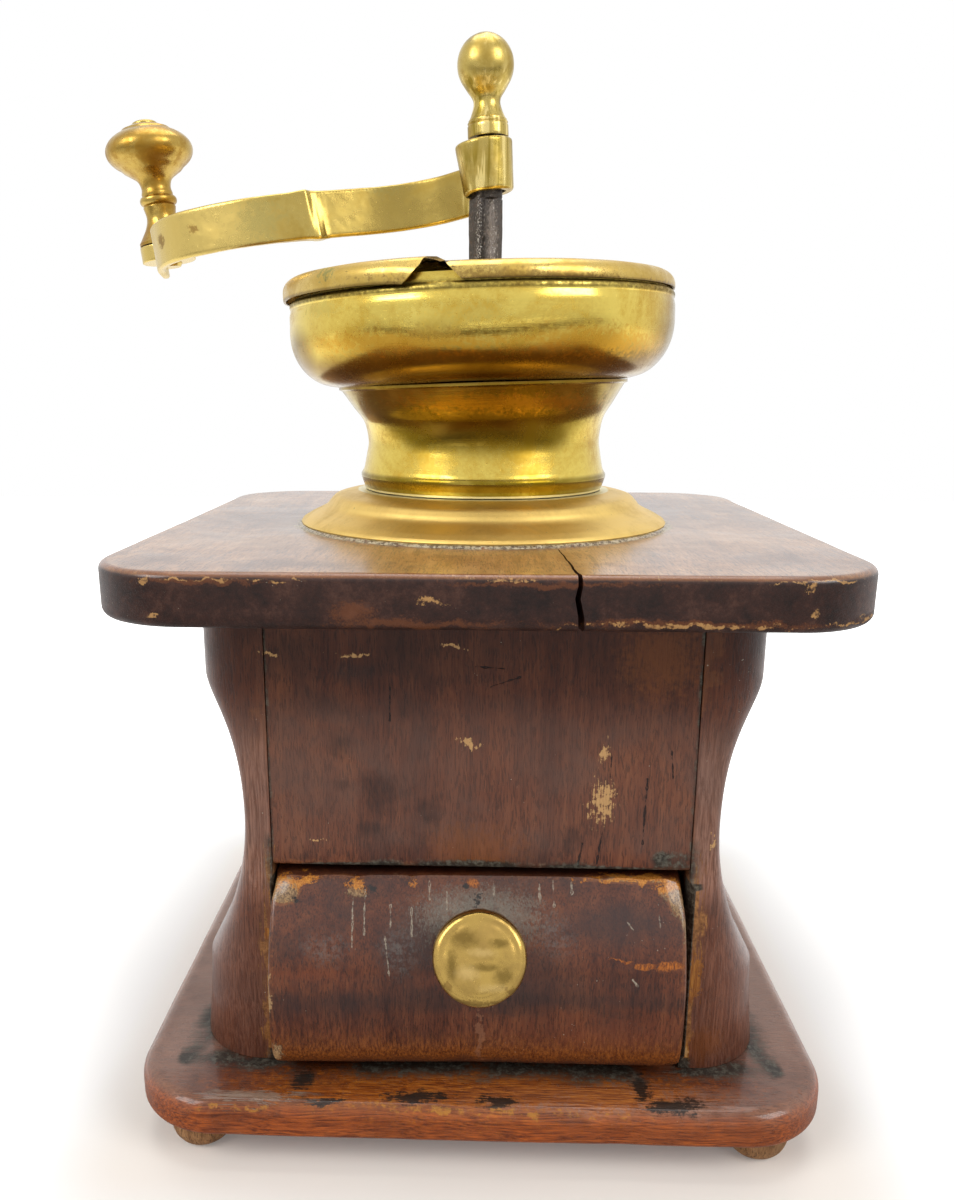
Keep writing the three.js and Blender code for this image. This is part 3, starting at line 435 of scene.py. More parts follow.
def vectorNode(kind, inputs):
    return node("VectorMath", inputs, operation=kind)


def vectors(kind, *values):
    return vectorNode(kind, dict(enumerate(values))).outputs[0]


def lengthOf(vector):
    return vectorNode("LENGTH", {0: vector}).outputs["Value"]


def fromAxis(vector):
    return lengthOf(vectors("MULTIPLY", vector, (1.0, 1.0, 0.0)))


def part(vector, axis):
    return node("SeparateXYZ", {0: vector}).outputs[axis]


def upward():  # 1 where the surface faces up, 0 on an upright face
    return part(node("NewGeometry").outputs["Normal"], "Z")


def span(value, low, high, start=0.0, end=1.0, soft=True):
    return node("MapRange", {"Value": value, "From Min": low, "From Max": high, "To Min": start, "To Max": end},
                interpolation_type="SMOOTHSTEP" if soft else "LINEAR").outputs[0]


def blend(share, a, b):
    return node("Mix", {0: share, 6: a, 7: b}, data_type="RGBA").outputs[2]


def paint(colour, tone, mask, share):  # the tone laid over the colour by the mask times the share
    return blend(times(mask, share), colour, tone)


def ramp(value, stops):
    new = node("ValToRGB", {"Fac": value})
    bar = new.color_ramp
    while len(bar.elements) < len(stops):
        bar.elements.new(0.5)
    for element, (at, colour) in zip(bar.elements, stops):
        element.position = at
        element.color = (*colour, 1)
    return new.outputs[0]


def patch(vector, centre, size, ragged, edge=0.35):
    # 1 inside a ragged oval on the object, 0 outside; ragged is a noise socket
    away = lengthOf(vectors("MULTIPLY", vectors("SUBTRACT", vector, centre), tuple(1 / s for s in size)))
    return span(timesPlus(ragged, 4.5, minus(away, 2.25)), 1 + edge, 1 - edge)


def patches(vector, places, ragged, edge=0.35):
    total = None
    for x, y, z, *size in places:
        mask = patch(vector, (x, y, z), size, ragged, edge)
        total = mask if total is None else most(total, mask)
    return total


def bumps(height, distance, strength):
    return node("Bump", {"Height": height, "Distance": distance, "Strength": strength}).outputs[0]


def attributeOf(name):
    return node("Attribute", attribute_name=name).outputs["Fac"]


# Old varnished wood: long figure, fibres and pores along the grain, a worn and dirty skin.
# The attributes worn and grime say where its edges are rubbed and its joints are dirty.
# The gloss is two roughnesses, the coat on faces that look up, and the coat's roughness.
def woodFinish(name, grain, tones, gloss, marks=None, seed=0.0):
    material, shader = startFinish(name)
    at = onObject()
    along = tuple(0.045 if axis == grain else 1 for axis in "xyz")
    drift = noise(at, 0.025, 2)
    run = vectors("ADD", stretched(at, along, (seed, seed * 2, seed * 3)), times(drift, 5.0))
    figure = noise(run, 0.3, 5, 0.6, 0.3)
    fibre = noise(run, 2.2, 3, 0.7)
    short = tuple(0.12 if axis == grain else 1 for axis in "xyz")
    pores = span(noise(stretched(at, short, (seed, 0, seed)), 2.6, 3, 0.6), 0.53, 0.61)
    mottle = noise(at, 0.05, 5, 0.62, 0.3)
    fine = noise(at, 0.75, 3, 0.7)
    broad = noise(at, 0.028, 3, 0.55, 0.4)
    value = timesPlus(fibre, 0.3, timesPlus(figure, 0.4, times(broad, 0.32)))
    colour = ramp(value, [(0.4, tones["dark"]), (0.51, tones["mid"]), (0.62, tones["light"])])
    colour = blend(times(pores, tones["pores"]), colour, tones["pore"])
    colour = blend(span(mottle, 0.46, 0.72, 0, 0.6), colour, tones["stain"])
    rough = span(mottle, 0.3, 0.7, gloss[0], gloss[1])
    height = minus(times(fibre, 0.5), pores)
    ragged = timesPlus(fine, 0.5, times(fibre, 0.5))
    rub = timesPlus(minus(ragged, 0.5), 1.5, attributeOf("worn"))
    worn = span(rub, 0.3, 0.62)
    bare = span(rub, 0.8, 0.9)
    colour = paint(colour, tones["worn"], worn, 0.85)
    colour = paint(colour, tones["bare"], bare, 0.9)
    rough = timesPlus(bare, 0.3, rough)
    if marks:
        swirl = node("TexNoise", {"Vector": at, "Scale": 0.22, "Detail": 3.0}).outputs["Color"]
        shove = vectors("SUBTRACT", swirl, (0.5, 0.5, 0.5))
        bent = vectors("MULTIPLY_ADD", shove, (5.0, 5.0, 5.0), at)
        skin = {"fine": fine, "fibre": fibre, "ragged": ragged, "mottle": mottle, "at": at}
        colour, rough, height = marks(bent, skin, colour, rough, height)
    flecks = times(span(noise(at, 1.3, 2, 0.6), 0.735, 0.76), span(noise(at, 0.07, 3), 0.5, 0.6))
    colour = paint(colour, tones["fleck"], flecks, 0.8)
    grime = span(timesPlus(minus(ragged, 0.5), 1.2, attributeOf("grime")), 0.2, 0.75)
    dust = blend(span(fine, 0.4, 0.72), (0.018, 0.017, 0.013), (0.115, 0.11, 0.085))
    colour = paint(colour, dust, grime, 0.92)
    rough = timesPlus(grime, 0.45, rough, clamp=True)
    height = timesPlus(times(grime, fine), 1.2, timesPlus(bare, -1.6, height))
    coat = span(upward(), -0.2, 0.8, gloss[2] * 0.08, gloss[2])
    fill(shader, {"Base Color": colour, "Roughness": rough, "Normal": bumps(height, 0.00013, 0.6),
                  "Specular IOR Level": 0.2, "Coat Weight": coat, "Coat Roughness": gloss[3]})
    return material


# Patches of a tone on the colour; gives back their mask too
def tint(at, places, ragged, share, colour, tone, edge=0.35, breaks=None):
    mask = patches(at, places, ragged, edge)
    if breaks is not None:
        mask = times(mask, breaks)
    return mask, paint(colour, tone, mask, share)


# Marks are ovals, x, y, z and three radii, or lines on a front face, x, z to x, z and a width.
# Wear on the base: amber rubbed band in front, black stains, one dark scrape, paler sides from grey dust and a
# painted reflection of the white room
baseMarks = {"amber": [(0, -81.5, 10, 52, 8, 7), (-30, -84, 10, 26, 5, 6), (34, -83, 10, 22, 5.5, 6)],
             "stains": [(-16, -85.2, 10, 7.5, 2, 3), (48, -85.7, 10, 7, 2.2, 3), (5, -85.8, 10, 5, 1.6, 3),
                        (-38.5, -86.8, 9.6, 6, 0.9, 2), (-45, -79.5, 10, 3, 4, 3), (41, -80, 10, 2.5, 5, 3)],
             "scrape": [(-56.5, -85.9, 10, 11, 1.7, 2.5)],
             "yellow": [(0, -88, 8.6, 34, 0.9, 0.9), (-62, -88.4, 8.2, 10, 0.7, 0.7)],
             "paleSheen": [(-80, -10, 10, 11, 74, 4), (80, -10, 10, 11, 74, 4), (30, -84, 10, 34, 4, 4)]}


def onBase(at, skin, colour, rough, height):
    soft = timesPlus(skin["mottle"], 0.35, 0.325)
    # Grey dust and a painted reflection of the white room on the base's top beside the case
    _, colour = tint(at, baseMarks["paleSheen"], soft, 0.7, colour, (0.38, 0.23, 0.17), 0.8)
    edge = times(span(upward(), 0.9, 0.4), span(skin["mottle"], 0.35, 0.6, 0.45, 1.0))
    colour = paint(colour, ramp(skin["fibre"], [(0.36, (0.13, 0.02, 0.004)), (0.64, (0.56, 0.12, 0.013))]),
                   edge, 0.75)
    mask, colour = tint(at, baseMarks["amber"], skin["ragged"], 0.85, colour,
                        ramp(skin["fibre"], [(0.36, (0.13, 0.032, 0.009)), (0.5, (0.33, 0.085, 0.012)),
                                             (0.64, (0.55, 0.18, 0.024))]), 0.5)
    rough = timesPlus(mask, -0.12, rough)
    breaks = span(noise(skin["at"], 0.25, 3, 0.7), 0.46, 0.58)
    _, colour = tint(at, baseMarks["yellow"], skin["ragged"], 0.7, colour, (0.5, 0.21, 0.025), breaks=breaks)
    black, colour = tint(at, baseMarks["stains"], skin["ragged"], 0.93, colour, (0.012, 0.011, 0.009), 0.3)
    scrape, colour = tint(at, baseMarks["scrape"], skin["fibre"], 0.8, colour, (0.25, 0.17, 0.12), 0.12)
    rough = timesPlus(most(black, scrape), 0.3, rough)
    return colour, rough, timesPlus(scrape, -2.0, height)


# Marks on the case: rubbed-through spots, orange clouds, dark dents and drying cracks
caseMarks = {
    "tan": [(29.5, -71.6, 84, 3.4, 3, 7), (29.2, -71.6, 97, 1.6, 2, 2.6), (-3.5, -71.6, 98.8, 3.2, 2, 1.1),
            (-30, -71.6, 120.5, 5.5, 2, 0.5), (-50.6, -71.6, 120, 2.4, 2, 0.8), (-7, -71.6, 122.3, 3, 2, 0.5),
            (56.6, -71.9, 74, 0.7, 2, 2), (54, -72, 15, 1.3, 2, 3), (-40, -71.6, 73, 2, 2, 0.5)],
    "orange": [(58, -72, 17, 5, 8, 4), (42, -71.6, 120, 8, 3, 8), (-1, -71.6, 71.5, 9, 3, 5),
               (53, -72, 34, 1.6, 3, 7), (-53.6, -72, 36, 1.6, 3, 5), (-53.2, -72, 22, 1.4, 3, 12),
               (52.8, -72, 24, 1, 3, 9)],
    "dark": [(-24, -71.6, 87, 5, 3, 4.5), (-34, -71.6, 87, 3, 3, 1.6), (-29, -71.6, 116, 4.5, 3, 2),
             (-26, -71.6, 75, 2.6, 3, 2), (22, -71.6, 73, 1.4, 3, 2.6), (-18, -71.6, 108, 2, 3, 4),
             (-12, -71.6, 80, 2, 3, 3), (-34, -71.6, 98, 3, 3, 3)],
    "cracks": [(25.2, 72.7, 24, 66, 0.3), (29.9, 76, 28.6, 66, 0.22), (40.2, 90, 39.8, 73, 0.2),
               (45.6, 98, 46.3, 90, 0.2), (-21.9, 113, -22, 104, 0.22), (-1.5, 117.7, 5.2, 117.3, 0.22),
               (2, 112.8, 9, 115.2, 0.2), (31.4, 96, 31.2, 90, 0.15)],
    "fresh": [(54.6, -72, 37, 1.9, 3, 6), (-54.2, -72, 47, 0.9, 3, 1.4), (54.0, -72, 15.5, 1.1, 3, 3.4)],
    "edges": [(-53.4, -72, 40, 1.9, 5, 14), (-53.6, -72, 20, 1.9, 5, 12), (53.6, -72, 52, 2.2, 5, 12),
              (53.2, -72, 22, 1.3, 5, 10), (-52.8, -72, 62, 0.9, 4, 8)]}
# The pale waist tone is partly wear and partly a painted sheen of grazing reflection
sideTones = {"waist": (0.34, 0.18, 0.13), "low": (0.21, 0.085, 0.052)}


def strokes(at, lines, slow):
    # Thin lines on a front face; 1 on a line
    flat = vectors("MULTIPLY", at, (1.0, 0.0, 1.0))
    sway = times(minus(slow, 0.5), 1.4)
    total = None
    for x, z, endX, endZ, width in lines:
        run = Vector((endX - x, 0, endZ - z))
        off = vectors("SUBTRACT", flat, (x, 0.0, z))
        share = vectorNode("DOT_PRODUCT", {0: off, 1: tuple(run / run.length_squared)}).outputs["Value"]
        foot = vectorNode("SCALE", {0: tuple(run), "Scale": plus(share, 0.0, clamp=True)}).outputs[0]
        away = vectorNode("DISTANCE", {0: off, 1: foot}).outputs["Value"]
        line = span(sizeOf(plus(away, sway)), width, width * 0.35)
        total = line if total is None else most(total, line)
    return total


def onCase(at, skin, colour, rough, height):
    rise = part(at, "Z")
    across = sizeOf(part(skin["at"], "X"))
    onSide = span(across, 51.9, 52.6, soft=False)
    waist = times(span(rise, 50, 66), span(rise, 108, 92))
    for deep, tone, reach, share in [((0.14, 0.055, 0.03), sideTones["waist"], waist, 0.7),
                                     ((0.1, 0.03, 0.014), sideTones["low"], span(rise, 62, 40), 0.6)]:
        colour = paint(colour, blend(span(skin["fibre"], 0.35, 0.65), deep, tone), times(onSide, reach), share)
    # A lighter grey band across the case's middle height: painted sheen
    paleSheen = times(times(span(rise, 66, 74), span(rise, 114, 102)), span(skin["mottle"], 0.35, 0.65, 0.5, 1.0))
    colour = paint(colour, (0.145, 0.078, 0.058), paleSheen, 0.5)
    # Painted shade: the case darkens towards its top, under the overhanging top board
    overhangShade = times(span(rise, 92, 118), span(skin["mottle"], 0.3, 0.6, 0.75, 1.0))
    colour = paint(colour, (0.022, 0.007, 0.005), overhangShade, 0.6)
    _, colour = tint(at, caseMarks["orange"], skin["ragged"], 0.5, colour, (0.2, 0.06, 0.012), 0.7)
    _, colour = tint(at, caseMarks["dark"], skin["mottle"], 0.5, colour, (0.02, 0.012, 0.011), 0.9)
    _, colour = tint(at, caseMarks["edges"], skin["fibre"], 0.8, colour,
                     ramp(skin["fine"], [(0.35, (0.16, 0.06, 0.015)), (0.65, (0.45, 0.2, 0.055))]), 0.3)
    _, colour = tint(at, caseMarks["fresh"], skin["ragged"], 0.9, colour,
                     ramp(skin["fibre"], [(0.38, (0.24, 0.07, 0.007)), (0.62, (0.5, 0.2, 0.025))]), 0.2)
    broken = timesPlus(skin["fibre"], 0.6, times(skin["fine"], 0.6))
    bare, colour = tint(at, caseMarks["tan"], broken, 0.9, colour, (0.52, 0.3, 0.12), 0.16)
    rough = timesPlus(bare, 0.3, rough)
    onFront = span(part(at, "Y"), -68, -70)
    lines = times(strokes(skin["at"], caseMarks["cracks"], noise(skin["at"], 0.45, 3)), onFront)
    colour = paint(colour, (0.006, 0.004, 0.004), lines, 0.9)
    return colour, rough, timesPlus(lines, -4.0, height)


# Marks on the drawer front: broken varnish at its corners, a grey halo round the knob
drawerMarks = {
    "chips": [(-48.6, -73, 60.4, 2.8, 4, 3.0), (-44.5, -72, 62.2, 4.5, 3, 0.9),
              (-30.8, -72.3, 60.6, 2.5, 3, 1.7), (-17, -71.6, 61.6, 0.9, 2, 1.2), (40, -71, 62.7, 13, 3, 0.6),
              (47.4, -73, 61.4, 3.8, 4, 2.2), (49.4, -74, 58.6, 1.9, 4, 3.4), (50.2, -77, 54.5, 0.7, 4, 4),
              (-50.8, -81.3, 19.6, 1.6, 3, 3.2), (-51.6, -82, 36, 0.5, 3, 5), (-47, -80.5, 12.8, 5, 3, 0.6),
              (8, -79, 12.2, 24, 3, 0.3)],
    "rims": [(-51.4, -81, 37.5, 0.9, 4, 4), (-50.8, -81, 16, 1.0, 4, 2.5)],
    "chipHearts": [(-48.2, -73.5, 59.4, 2.2, 4, 2.0), (-30.8, -72.6, 60.0, 2.2, 3, 1.1)],
    "nicks": [(-27, -72.4, 60.6, 0.7, 2, 1.4), (-3.1, -72, 60.6, 0.6, 2, 0.8), (-45.5, -73, 58.6, 2.2, 2, 0.5),
              (0, -76, 58.6, 0.7, 3, 1.3)],
    "scrape": [(46.6, -81, 44.7, 3.4, 3, 1.3), (40.8, -81, 45.4, 2.4, 3, 0.7), (35, -81, 46.4, 3, 3, 0.25),
               (-1.6, -72, 61.2, 1.1, 3, 1.0)],
    "halo": [(0, -76.5, 54.6, 12.5, 5, 7.5)],
    "rubbed": [(-19.6, -80, 47.8, 4.6, 5, 6), (18.8, -78.5, 51, 4, 4, 5.5), (-9, -76, 57, 5, 4, 4),
               (-38, -79, 48, 6, 5, 4)],
    "red": [(-43, -81.6, 42.2, 9, 4, 1.3), (13.3, -81.7, 41.5, 3, 3, 2.4), (-13, -81.7, 41, 3, 3, 1.3),
            (30, -80, 24, 18, 6, 8)],
    "band": [(-18, -82.4, 35.5, 34, 5, 2.6), (26, -82.4, 36, 22, 5, 2.2)],
    "shade": [(13, -80, 39, 11, 5, 6), (-17, -79, 48, 8, 5, 9), (34, -78, 54, 13, 5, 4),
              (-36, -80, 33, 12, 5, 4), (2, -80, 15, 40, 6, 3)],
    "strip": [(0.4, -81.5, 25.2, 0.8, 4, 7.6)],
    "scratches": [(-31.4, 58.6, -31.2, 48.6, 0.2), (-28.5, 60.2, -28.3, 51.4, 0.25),
                  (-22, 57.2, -21.9, 52.6, 0.25), (-16.8, 56.8, -16.6, 51, 0.18),
                  (-8.2, 60.5, -8.1, 56.4, 0.18), (14.8, 61.8, 15, 57.8, 0.25), (18.2, 62.3, 18.4, 57.3, 0.2),
                  (22.8, 61.9, 22.9, 59.9, 0.25), (-23.1, 50.9, -21.8, 41, 0.18), (36.2, 54.4, 37.6, 53, 0.35),
                  (37.4, 41.8, 38.6, 40.4, 0.35), (-12.5, 62, -12.4, 58.5, 0.2), (3.4, 62, 3.5, 59, 0.22),
                  (44, 58, 44.2, 52.5, 0.18)]}


def onDrawer(at, skin, colour, rough, height):
    _, colour = tint(at, drawerMarks["red"], skin["ragged"], 0.4, colour, (0.19, 0.045, 0.015), 0.7)
    rise = part(at, "Z")
    lowTone = ramp(skin["fibre"], [(0.38, (0.085, 0.018, 0.003)), (0.62, (0.27, 0.08, 0.012))])
    colour = blend(times(span(rise, 29, 19, 0, 0.85), span(rise, 12.5, 17, 0.35, 1.0)), colour, lowTone)
    soft = timesPlus(skin["mottle"], 0.5, 0.25)
    _, colour = tint(at, drawerMarks["shade"], soft, 0.6, colour, (0.03, 0.016, 0.015), 0.8)
    grey = times(patches(at, drawerMarks["rubbed"], skin["ragged"], 0.6), span(skin["fine"], 0.42, 0.66))
    colour = paint(colour, (0.17, 0.16, 0.145), grey, 0.5)
    halo = times(patches(at, drawerMarks["halo"], skin["ragged"], 0.5), span(skin["fine"], 0.3, 0.6, 0.3, 1.0))
    colour = paint(colour, (0.26, 0.24, 0.19), halo, 0.75)
    _, colour = tint(at, drawerMarks["strip"], skin["fine"], 0.5, colour, (0.24, 0.1, 0.05), 0.2)
    # A dark band along the bulge: painted shade
    _, colour = tint(at, drawerMarks["band"], skin["mottle"], 0.5, colour, (0.026, 0.015, 0.014), 0.8)
    lines = strokes(skin["at"], drawerMarks["scratches"], noise(skin["at"], 0.5, 3))
    lines = times(lines, span(skin["fine"], 0.38, 0.55, 0.25, 1.0))
    colour = paint(colour, (0.42, 0.36, 0.27), lines, 0.7)
    _, colour = tint(at, drawerMarks["scrape"], timesPlus(skin["fibre"], 0.5, 0.25), 0.95, colour,
                     ramp(skin["fibre"], [(0.4, (0.13, 0.03, 0.005)), (0.6, (0.48, 0.14, 0.012))]), 0.15)
    flake = ramp(skin["fibre"], [(0.4, (0.13, 0.07, 0.035)), (0.6, (0.4, 0.25, 0.12))])
    fresh = ramp(skin["fibre"], [(0.38, (0.4, 0.12, 0.012)), (0.62, (0.7, 0.3, 0.05))])
    chips, colour = tint(at, drawerMarks["chips"], skin["ragged"], 0.95, colour,
                         blend(span(timesPlus(skin["fine"], 3.0, rise), 60.9, 61.9), flake, fresh), 0.1)
    hearts, colour = tint(at, drawerMarks["chipHearts"], skin["ragged"], 0.9, colour, flake, 0.12)
    _, colour = tint(at, drawerMarks["rims"], skin["ragged"], 0.8, colour, (0.42, 0.25, 0.11), 0.2)
    _, colour = tint(at, drawerMarks["nicks"], skin["fine"], 0.95, colour, (0.008, 0.006, 0.005), 0.25)
    rough = timesPlus(most(chips, most(halo, grey)), 0.35, rough)
    return colour, rough, timesPlus(plus(chips, hearts), -2.2, height)


# Marks on the top board: knocked side face, rubbed arrises, mottled top whose lighter tones are partly a
# painted sheen
topMarks = {
    "tan": [(-11.3, -90, 137, 3.4, 2, 0.8), (5, -90, 141.6, 4.5, 2, 0.4), (-73, -89, 140.4, 1.8, 2, 0.7),
            (-71, -89.5, 133.4, 1.8, 2, 0.5), (24.3, -81, 143, 2.4, 0.6, 1), (69.2, -89.8, 140.5, 1.2, 2, 0.5),
            (44, -89.8, 132.0, 20, 3, 0.45), (82, -84, 132.8, 8, 6, 0.6), (69.8, -89.7, 135.2, 0.8, 1, 1.0),
            (-55, -89.6, 141.4, 16, 2, 0.25), (72, -88, 141.6, 12, 3, 0.25)],
    "orange": [(-15, -90, 132.2, 16, 3, 0.9), (-62, -90, 141.0, 14, 2, 0.6), (46, -90, 132.4, 26, 3, 0.8),
               (14, -90, 140.8, 18, 2, 0.6), (-28, -90, 135, 4, 2, 2)],
    "dark": [(-58, 0, 143, 26, 30, 4), (-48, -80, 143, 26, 6, 3), (70, -70, 143, 12, 14, 3),
             (50, 40, 143, 20, 30, 3), (-78, -72, 143, 8, 12, 3), (82, 5, 143, 6, 40, 3)],
    "pale": [(60, -30, 143, 26, 16, 4), (-64, -40, 143, 20, 14, 4), (60, -2, 143, 9, 6, 3),
             (-58, -12, 143, 6, 14, 3)]}


def onTop(at, skin, colour, rough, height):
    clouds = noise(at, 0.09, 5, 0.65, 0.5)
    _, colour = tint(at, topMarks["pale"], clouds, 0.5, colour, (0.46, 0.27, 0.15), 0.9)
    _, colour = tint(at, topMarks["dark"], clouds, 0.6, colour, (0.09, 0.035, 0.018), 0.9)
    # The upright faces get a dark tone; the lighter tones stay on the top face, partly a painted sheen
    side = span(upward(), 0.75, 0.3)
    faceTone = ramp(timesPlus(skin["fine"], 0.4, times(clouds, 0.6)),
                    [(0.36, (0.012, 0.005, 0.004)), (0.52, (0.034, 0.012, 0.008)),
                     (0.7, (0.085, 0.035, 0.022))])
    colour = blend(side, colour, faceTone)
    _, colour = tint(at, topMarks["orange"], skin["ragged"], 0.5, colour, (0.18, 0.055, 0.016), 0.45)
    breaks = span(noise(skin["at"], 0.3, 3, 0.7), 0.44, 0.56)
    bare, colour = tint(at, topMarks["tan"], skin["ragged"], 0.85, colour, (0.46, 0.25, 0.09), 0.12, breaks)
    crust = span(timesPlus(minus(noise(skin["at"], 0.5, 4, 0.7), 0.5), 9.0, fromAxis(skin["at"])), 55.9, 54.6)
    grains = ramp(noise(skin["at"], 1.1, 2, 0.7), [(0.4, (0.12, 0.09, 0.05)), (0.56, (0.6, 0.52, 0.34))])
    colour = paint(colour, grains, crust, 0.85)
    rough = timesPlus(side, 0.12, timesPlus(most(bare, crust), 0.3, rough))
    return colour, rough, timesPlus(times(crust, skin["fine"]), 3.0, height)


# Old brass: a polished skin under clouds of tarnish, pits, lathe lines and rubbing marks.
# The attribute rise is the height on the hopper before it leaned.
def brassFinish(name, tones, rough, cloud=0.05, cover=(0.45, 0.7), lathe=0.0, marks=None):
    material, shader = startFinish(name)
    at = onObject()
    clouds = noise(at, cloud, 6, 0.62, 0.5)
    fine = noise(at, 0.8, 4, 0.7)
    rise = attributeOf("rise")
    tarnish = span(timesPlus(fine, 0.3, minus(clouds, 0.15)), *cover)
    colour = blend(tarnish, tones["bright"], tones["tarnish"])
    pits = span(noise(at, 1.5, 3, 0.6), 0.67, 0.74)
    colour = paint(colour, tones["dirt"], pits, 0.6)
    roughness = span(timesPlus(fine, 0.35, tarnish), 0.1, 1.2, rough[0], rough[1])
    across = stretched(at, (0.12, 1.6, 0.9), turn=(0.3, 0.4, 0.9))
    scratches = noise(across, 3.0, 3, 0.65)
    height = timesPlus(scratches, 0.35, times(pits, -0.8))
    if lathe:
        ringed = node("CombineXYZ", {"X": times(part(at, "X"), 0.03), "Y": times(part(at, "Y"), 0.03),
                                     "Z": times(rise, 2.2)}).outputs[0]
        turning = noise(ringed, 1.0, 3, 0.6)
        height = timesPlus(turning, lathe, height)
        roughness = timesPlus(minus(turning, 0.5), 0.12, roughness)
    if marks:
        skin = {"rise": rise, "clouds": clouds, "fine": fine}
        colour, roughness, height = marks(at, skin, colour, roughness, height)
    fill(shader, {"Base Color": colour, "Roughness": roughness, "Normal": bumps(height, 0.00005, 0.6),
                  "Metallic": 1.0})
    return material


verdigris, browned, blackened = (0.16, 0.2, 0.085), (0.2, 0.1, 0.025), (0.03, 0.02, 0.012)
hopperMarks = {"green": [(-12, -50, 197, 6, 8, 3.2), (-2, -52, 199, 5, 8, 2), (-40, -32, 201, 5, 8, 1.6)],
               "brown": [(-4, -50, 187.5, 38, 30, 4.4), (28, -40, 188.5, 20, 26, 5), (4, -36, 172, 20, 20, 7),
                         (51, -14, 193, 9, 24, 12), (53, -8, 202, 8, 30, 6), (-50, -22, 190, 6, 16, 5)],
               "orange": [(-20, -48, 192.5, 26, 20, 2.5), (28, -44, 193, 20, 20, 3), (6, -40, 178, 24, 30, 2)],
               "rimDirt": (204.7, 206.1), "footLine": 153.9, "seamDirt": 183.4}


def onHopper(at, skin, colour, rough, height):
    # Painted reflection: the bowl's underside and the neck's top are darkened as if mirroring the wooden top
    # board, reaching lower near x = 0
    low = most(span(skin["rise"], 192.5, 187.5), span(skin["rise"], 158.6, 157.6))
    out = sizeOf(part(at, "X"))
    shadeFoot = minus(skin["rise"], span(out, 17, 32, 0, 8))
    shadeFoot = timesPlus(skin["clouds"], 6.0, shadeFoot)
    low = times(low, most(span(shadeFoot, 165.5, 172), span(skin["rise"], 158.8, 157.6)))
    colour = blend(times(low, span(skin["clouds"], 0.3, 0.6, 0.55, 0.88)), colour,
                   ramp(times(skin["rise"], 0.005),
                        [(0.89, (0.18, 0.118, 0.004)), (0.925, (0.2, 0.095, 0.003))]))
    soft = timesPlus(skin["clouds"], 0.35, 0.325)
    # Brown patches: tarnish, and on the bowl's underside and the neck's top also a painted dark reflection of
    # the top board
    _, colour = tint(at, hopperMarks["brown"], soft, 0.75, colour, (0.17, 0.088, 0.006), 0.6)
    # Orange patches in the dark band: painted reflections
    _, colour = tint(at, hopperMarks["orange"], skin["fine"], 0.75, colour, (0.5, 0.25, 0.02), 0.7)
    green, colour = tint(at, hopperMarks["green"], skin["fine"], 0.22, colour, verdigris, 0.6)
    low, high = hopperMarks["rimDirt"]
    rim = times(span(skin["rise"], low - 0.6, low), span(skin["rise"], high + 1.2, high))
    rim = times(rim, span(skin["fine"], 0.3, 0.6, 0.35, 1))
    colour = paint(colour, blackened, rim, 0.7)
    foot = span(skin["rise"], hopperMarks["footLine"], hopperMarks["footLine"] - 0.25)
    colour = blend(foot, colour, (0.8, 0.7, 0.42))
    seam = span(sizeOf(minus(skin["rise"], hopperMarks["seamDirt"])), 0.9, 0.3)
    colour = paint(colour, browned, seam, 0.6)
    rough = timesPlus(most(green, rim), 0.3, timesPlus(foot, 0.2, rough))
    return colour, rough, height


lidMarks = {
    "green": [(-37, -37, 209, 4, 4, 1.8)], "brown": [(10, -50, 207, 30, 10, 1.6), (48, -18, 207, 10, 20, 1.4)],
    "notch": [(-9.5, -48, 210, 5, 3.4, 3)]}


def onLid(at, skin, colour, rough, height):
    green, colour = tint(at, lidMarks["green"], skin["fine"], 0.65, colour, verdigris, 0.4)
    _, colour = tint(at, lidMarks["brown"], skin["fine"], 0.6, colour, browned, 0.6)
    edge = span(timesPlus(skin["fine"], 0.8, skin["rise"]), 207.6, 206.9)
    colour = paint(colour, (0.09, 0.05, 0.02), edge, 0.6)
    # The notch is painted near-black: painted shade of the dark opening between the halves
    _, colour = tint(at, lidMarks["notch"], skin["fine"], 0.9, colour, (0.03, 0.022, 0.014), 0.3)
    return colour, timesPlus(green, 0.3, rough), height


def onFlange(at, skin, colour, rough, height):
    foot = span(timesPlus(skin["fine"], 1.0, skin["rise"]), 144.5, 144.0)
    colour = paint(colour, (0.46, 0.42, 0.28), foot, 0.85)
    colour = blend(span(fromAxis(at), 37.2, 36.6), colour, (0.95, 0.88, 0.6))
    dull = span(skin["clouds"], 0.4, 0.65)
    colour = paint(colour, (0.5, 0.38, 0.15), dull, 0.3)
    return colour, timesPlus(foot, 0.35, rough), height


crankMarks = {"dull": [(-28, 12, 236, 20, 12, 12), (-12, 10, 240, 8, 10, 10)],
              "green": [(-64, 3, 228, 5, 6, 5), (-30, 13, 240, 5, 6, 3)],
              "spots": [(-84, 5, 226, 1.2, 4, 1.2), (-40, 11, 238, 1.6, 4, 0.9), (-96, 14, 224, 1.4, 4, 1.6)]}


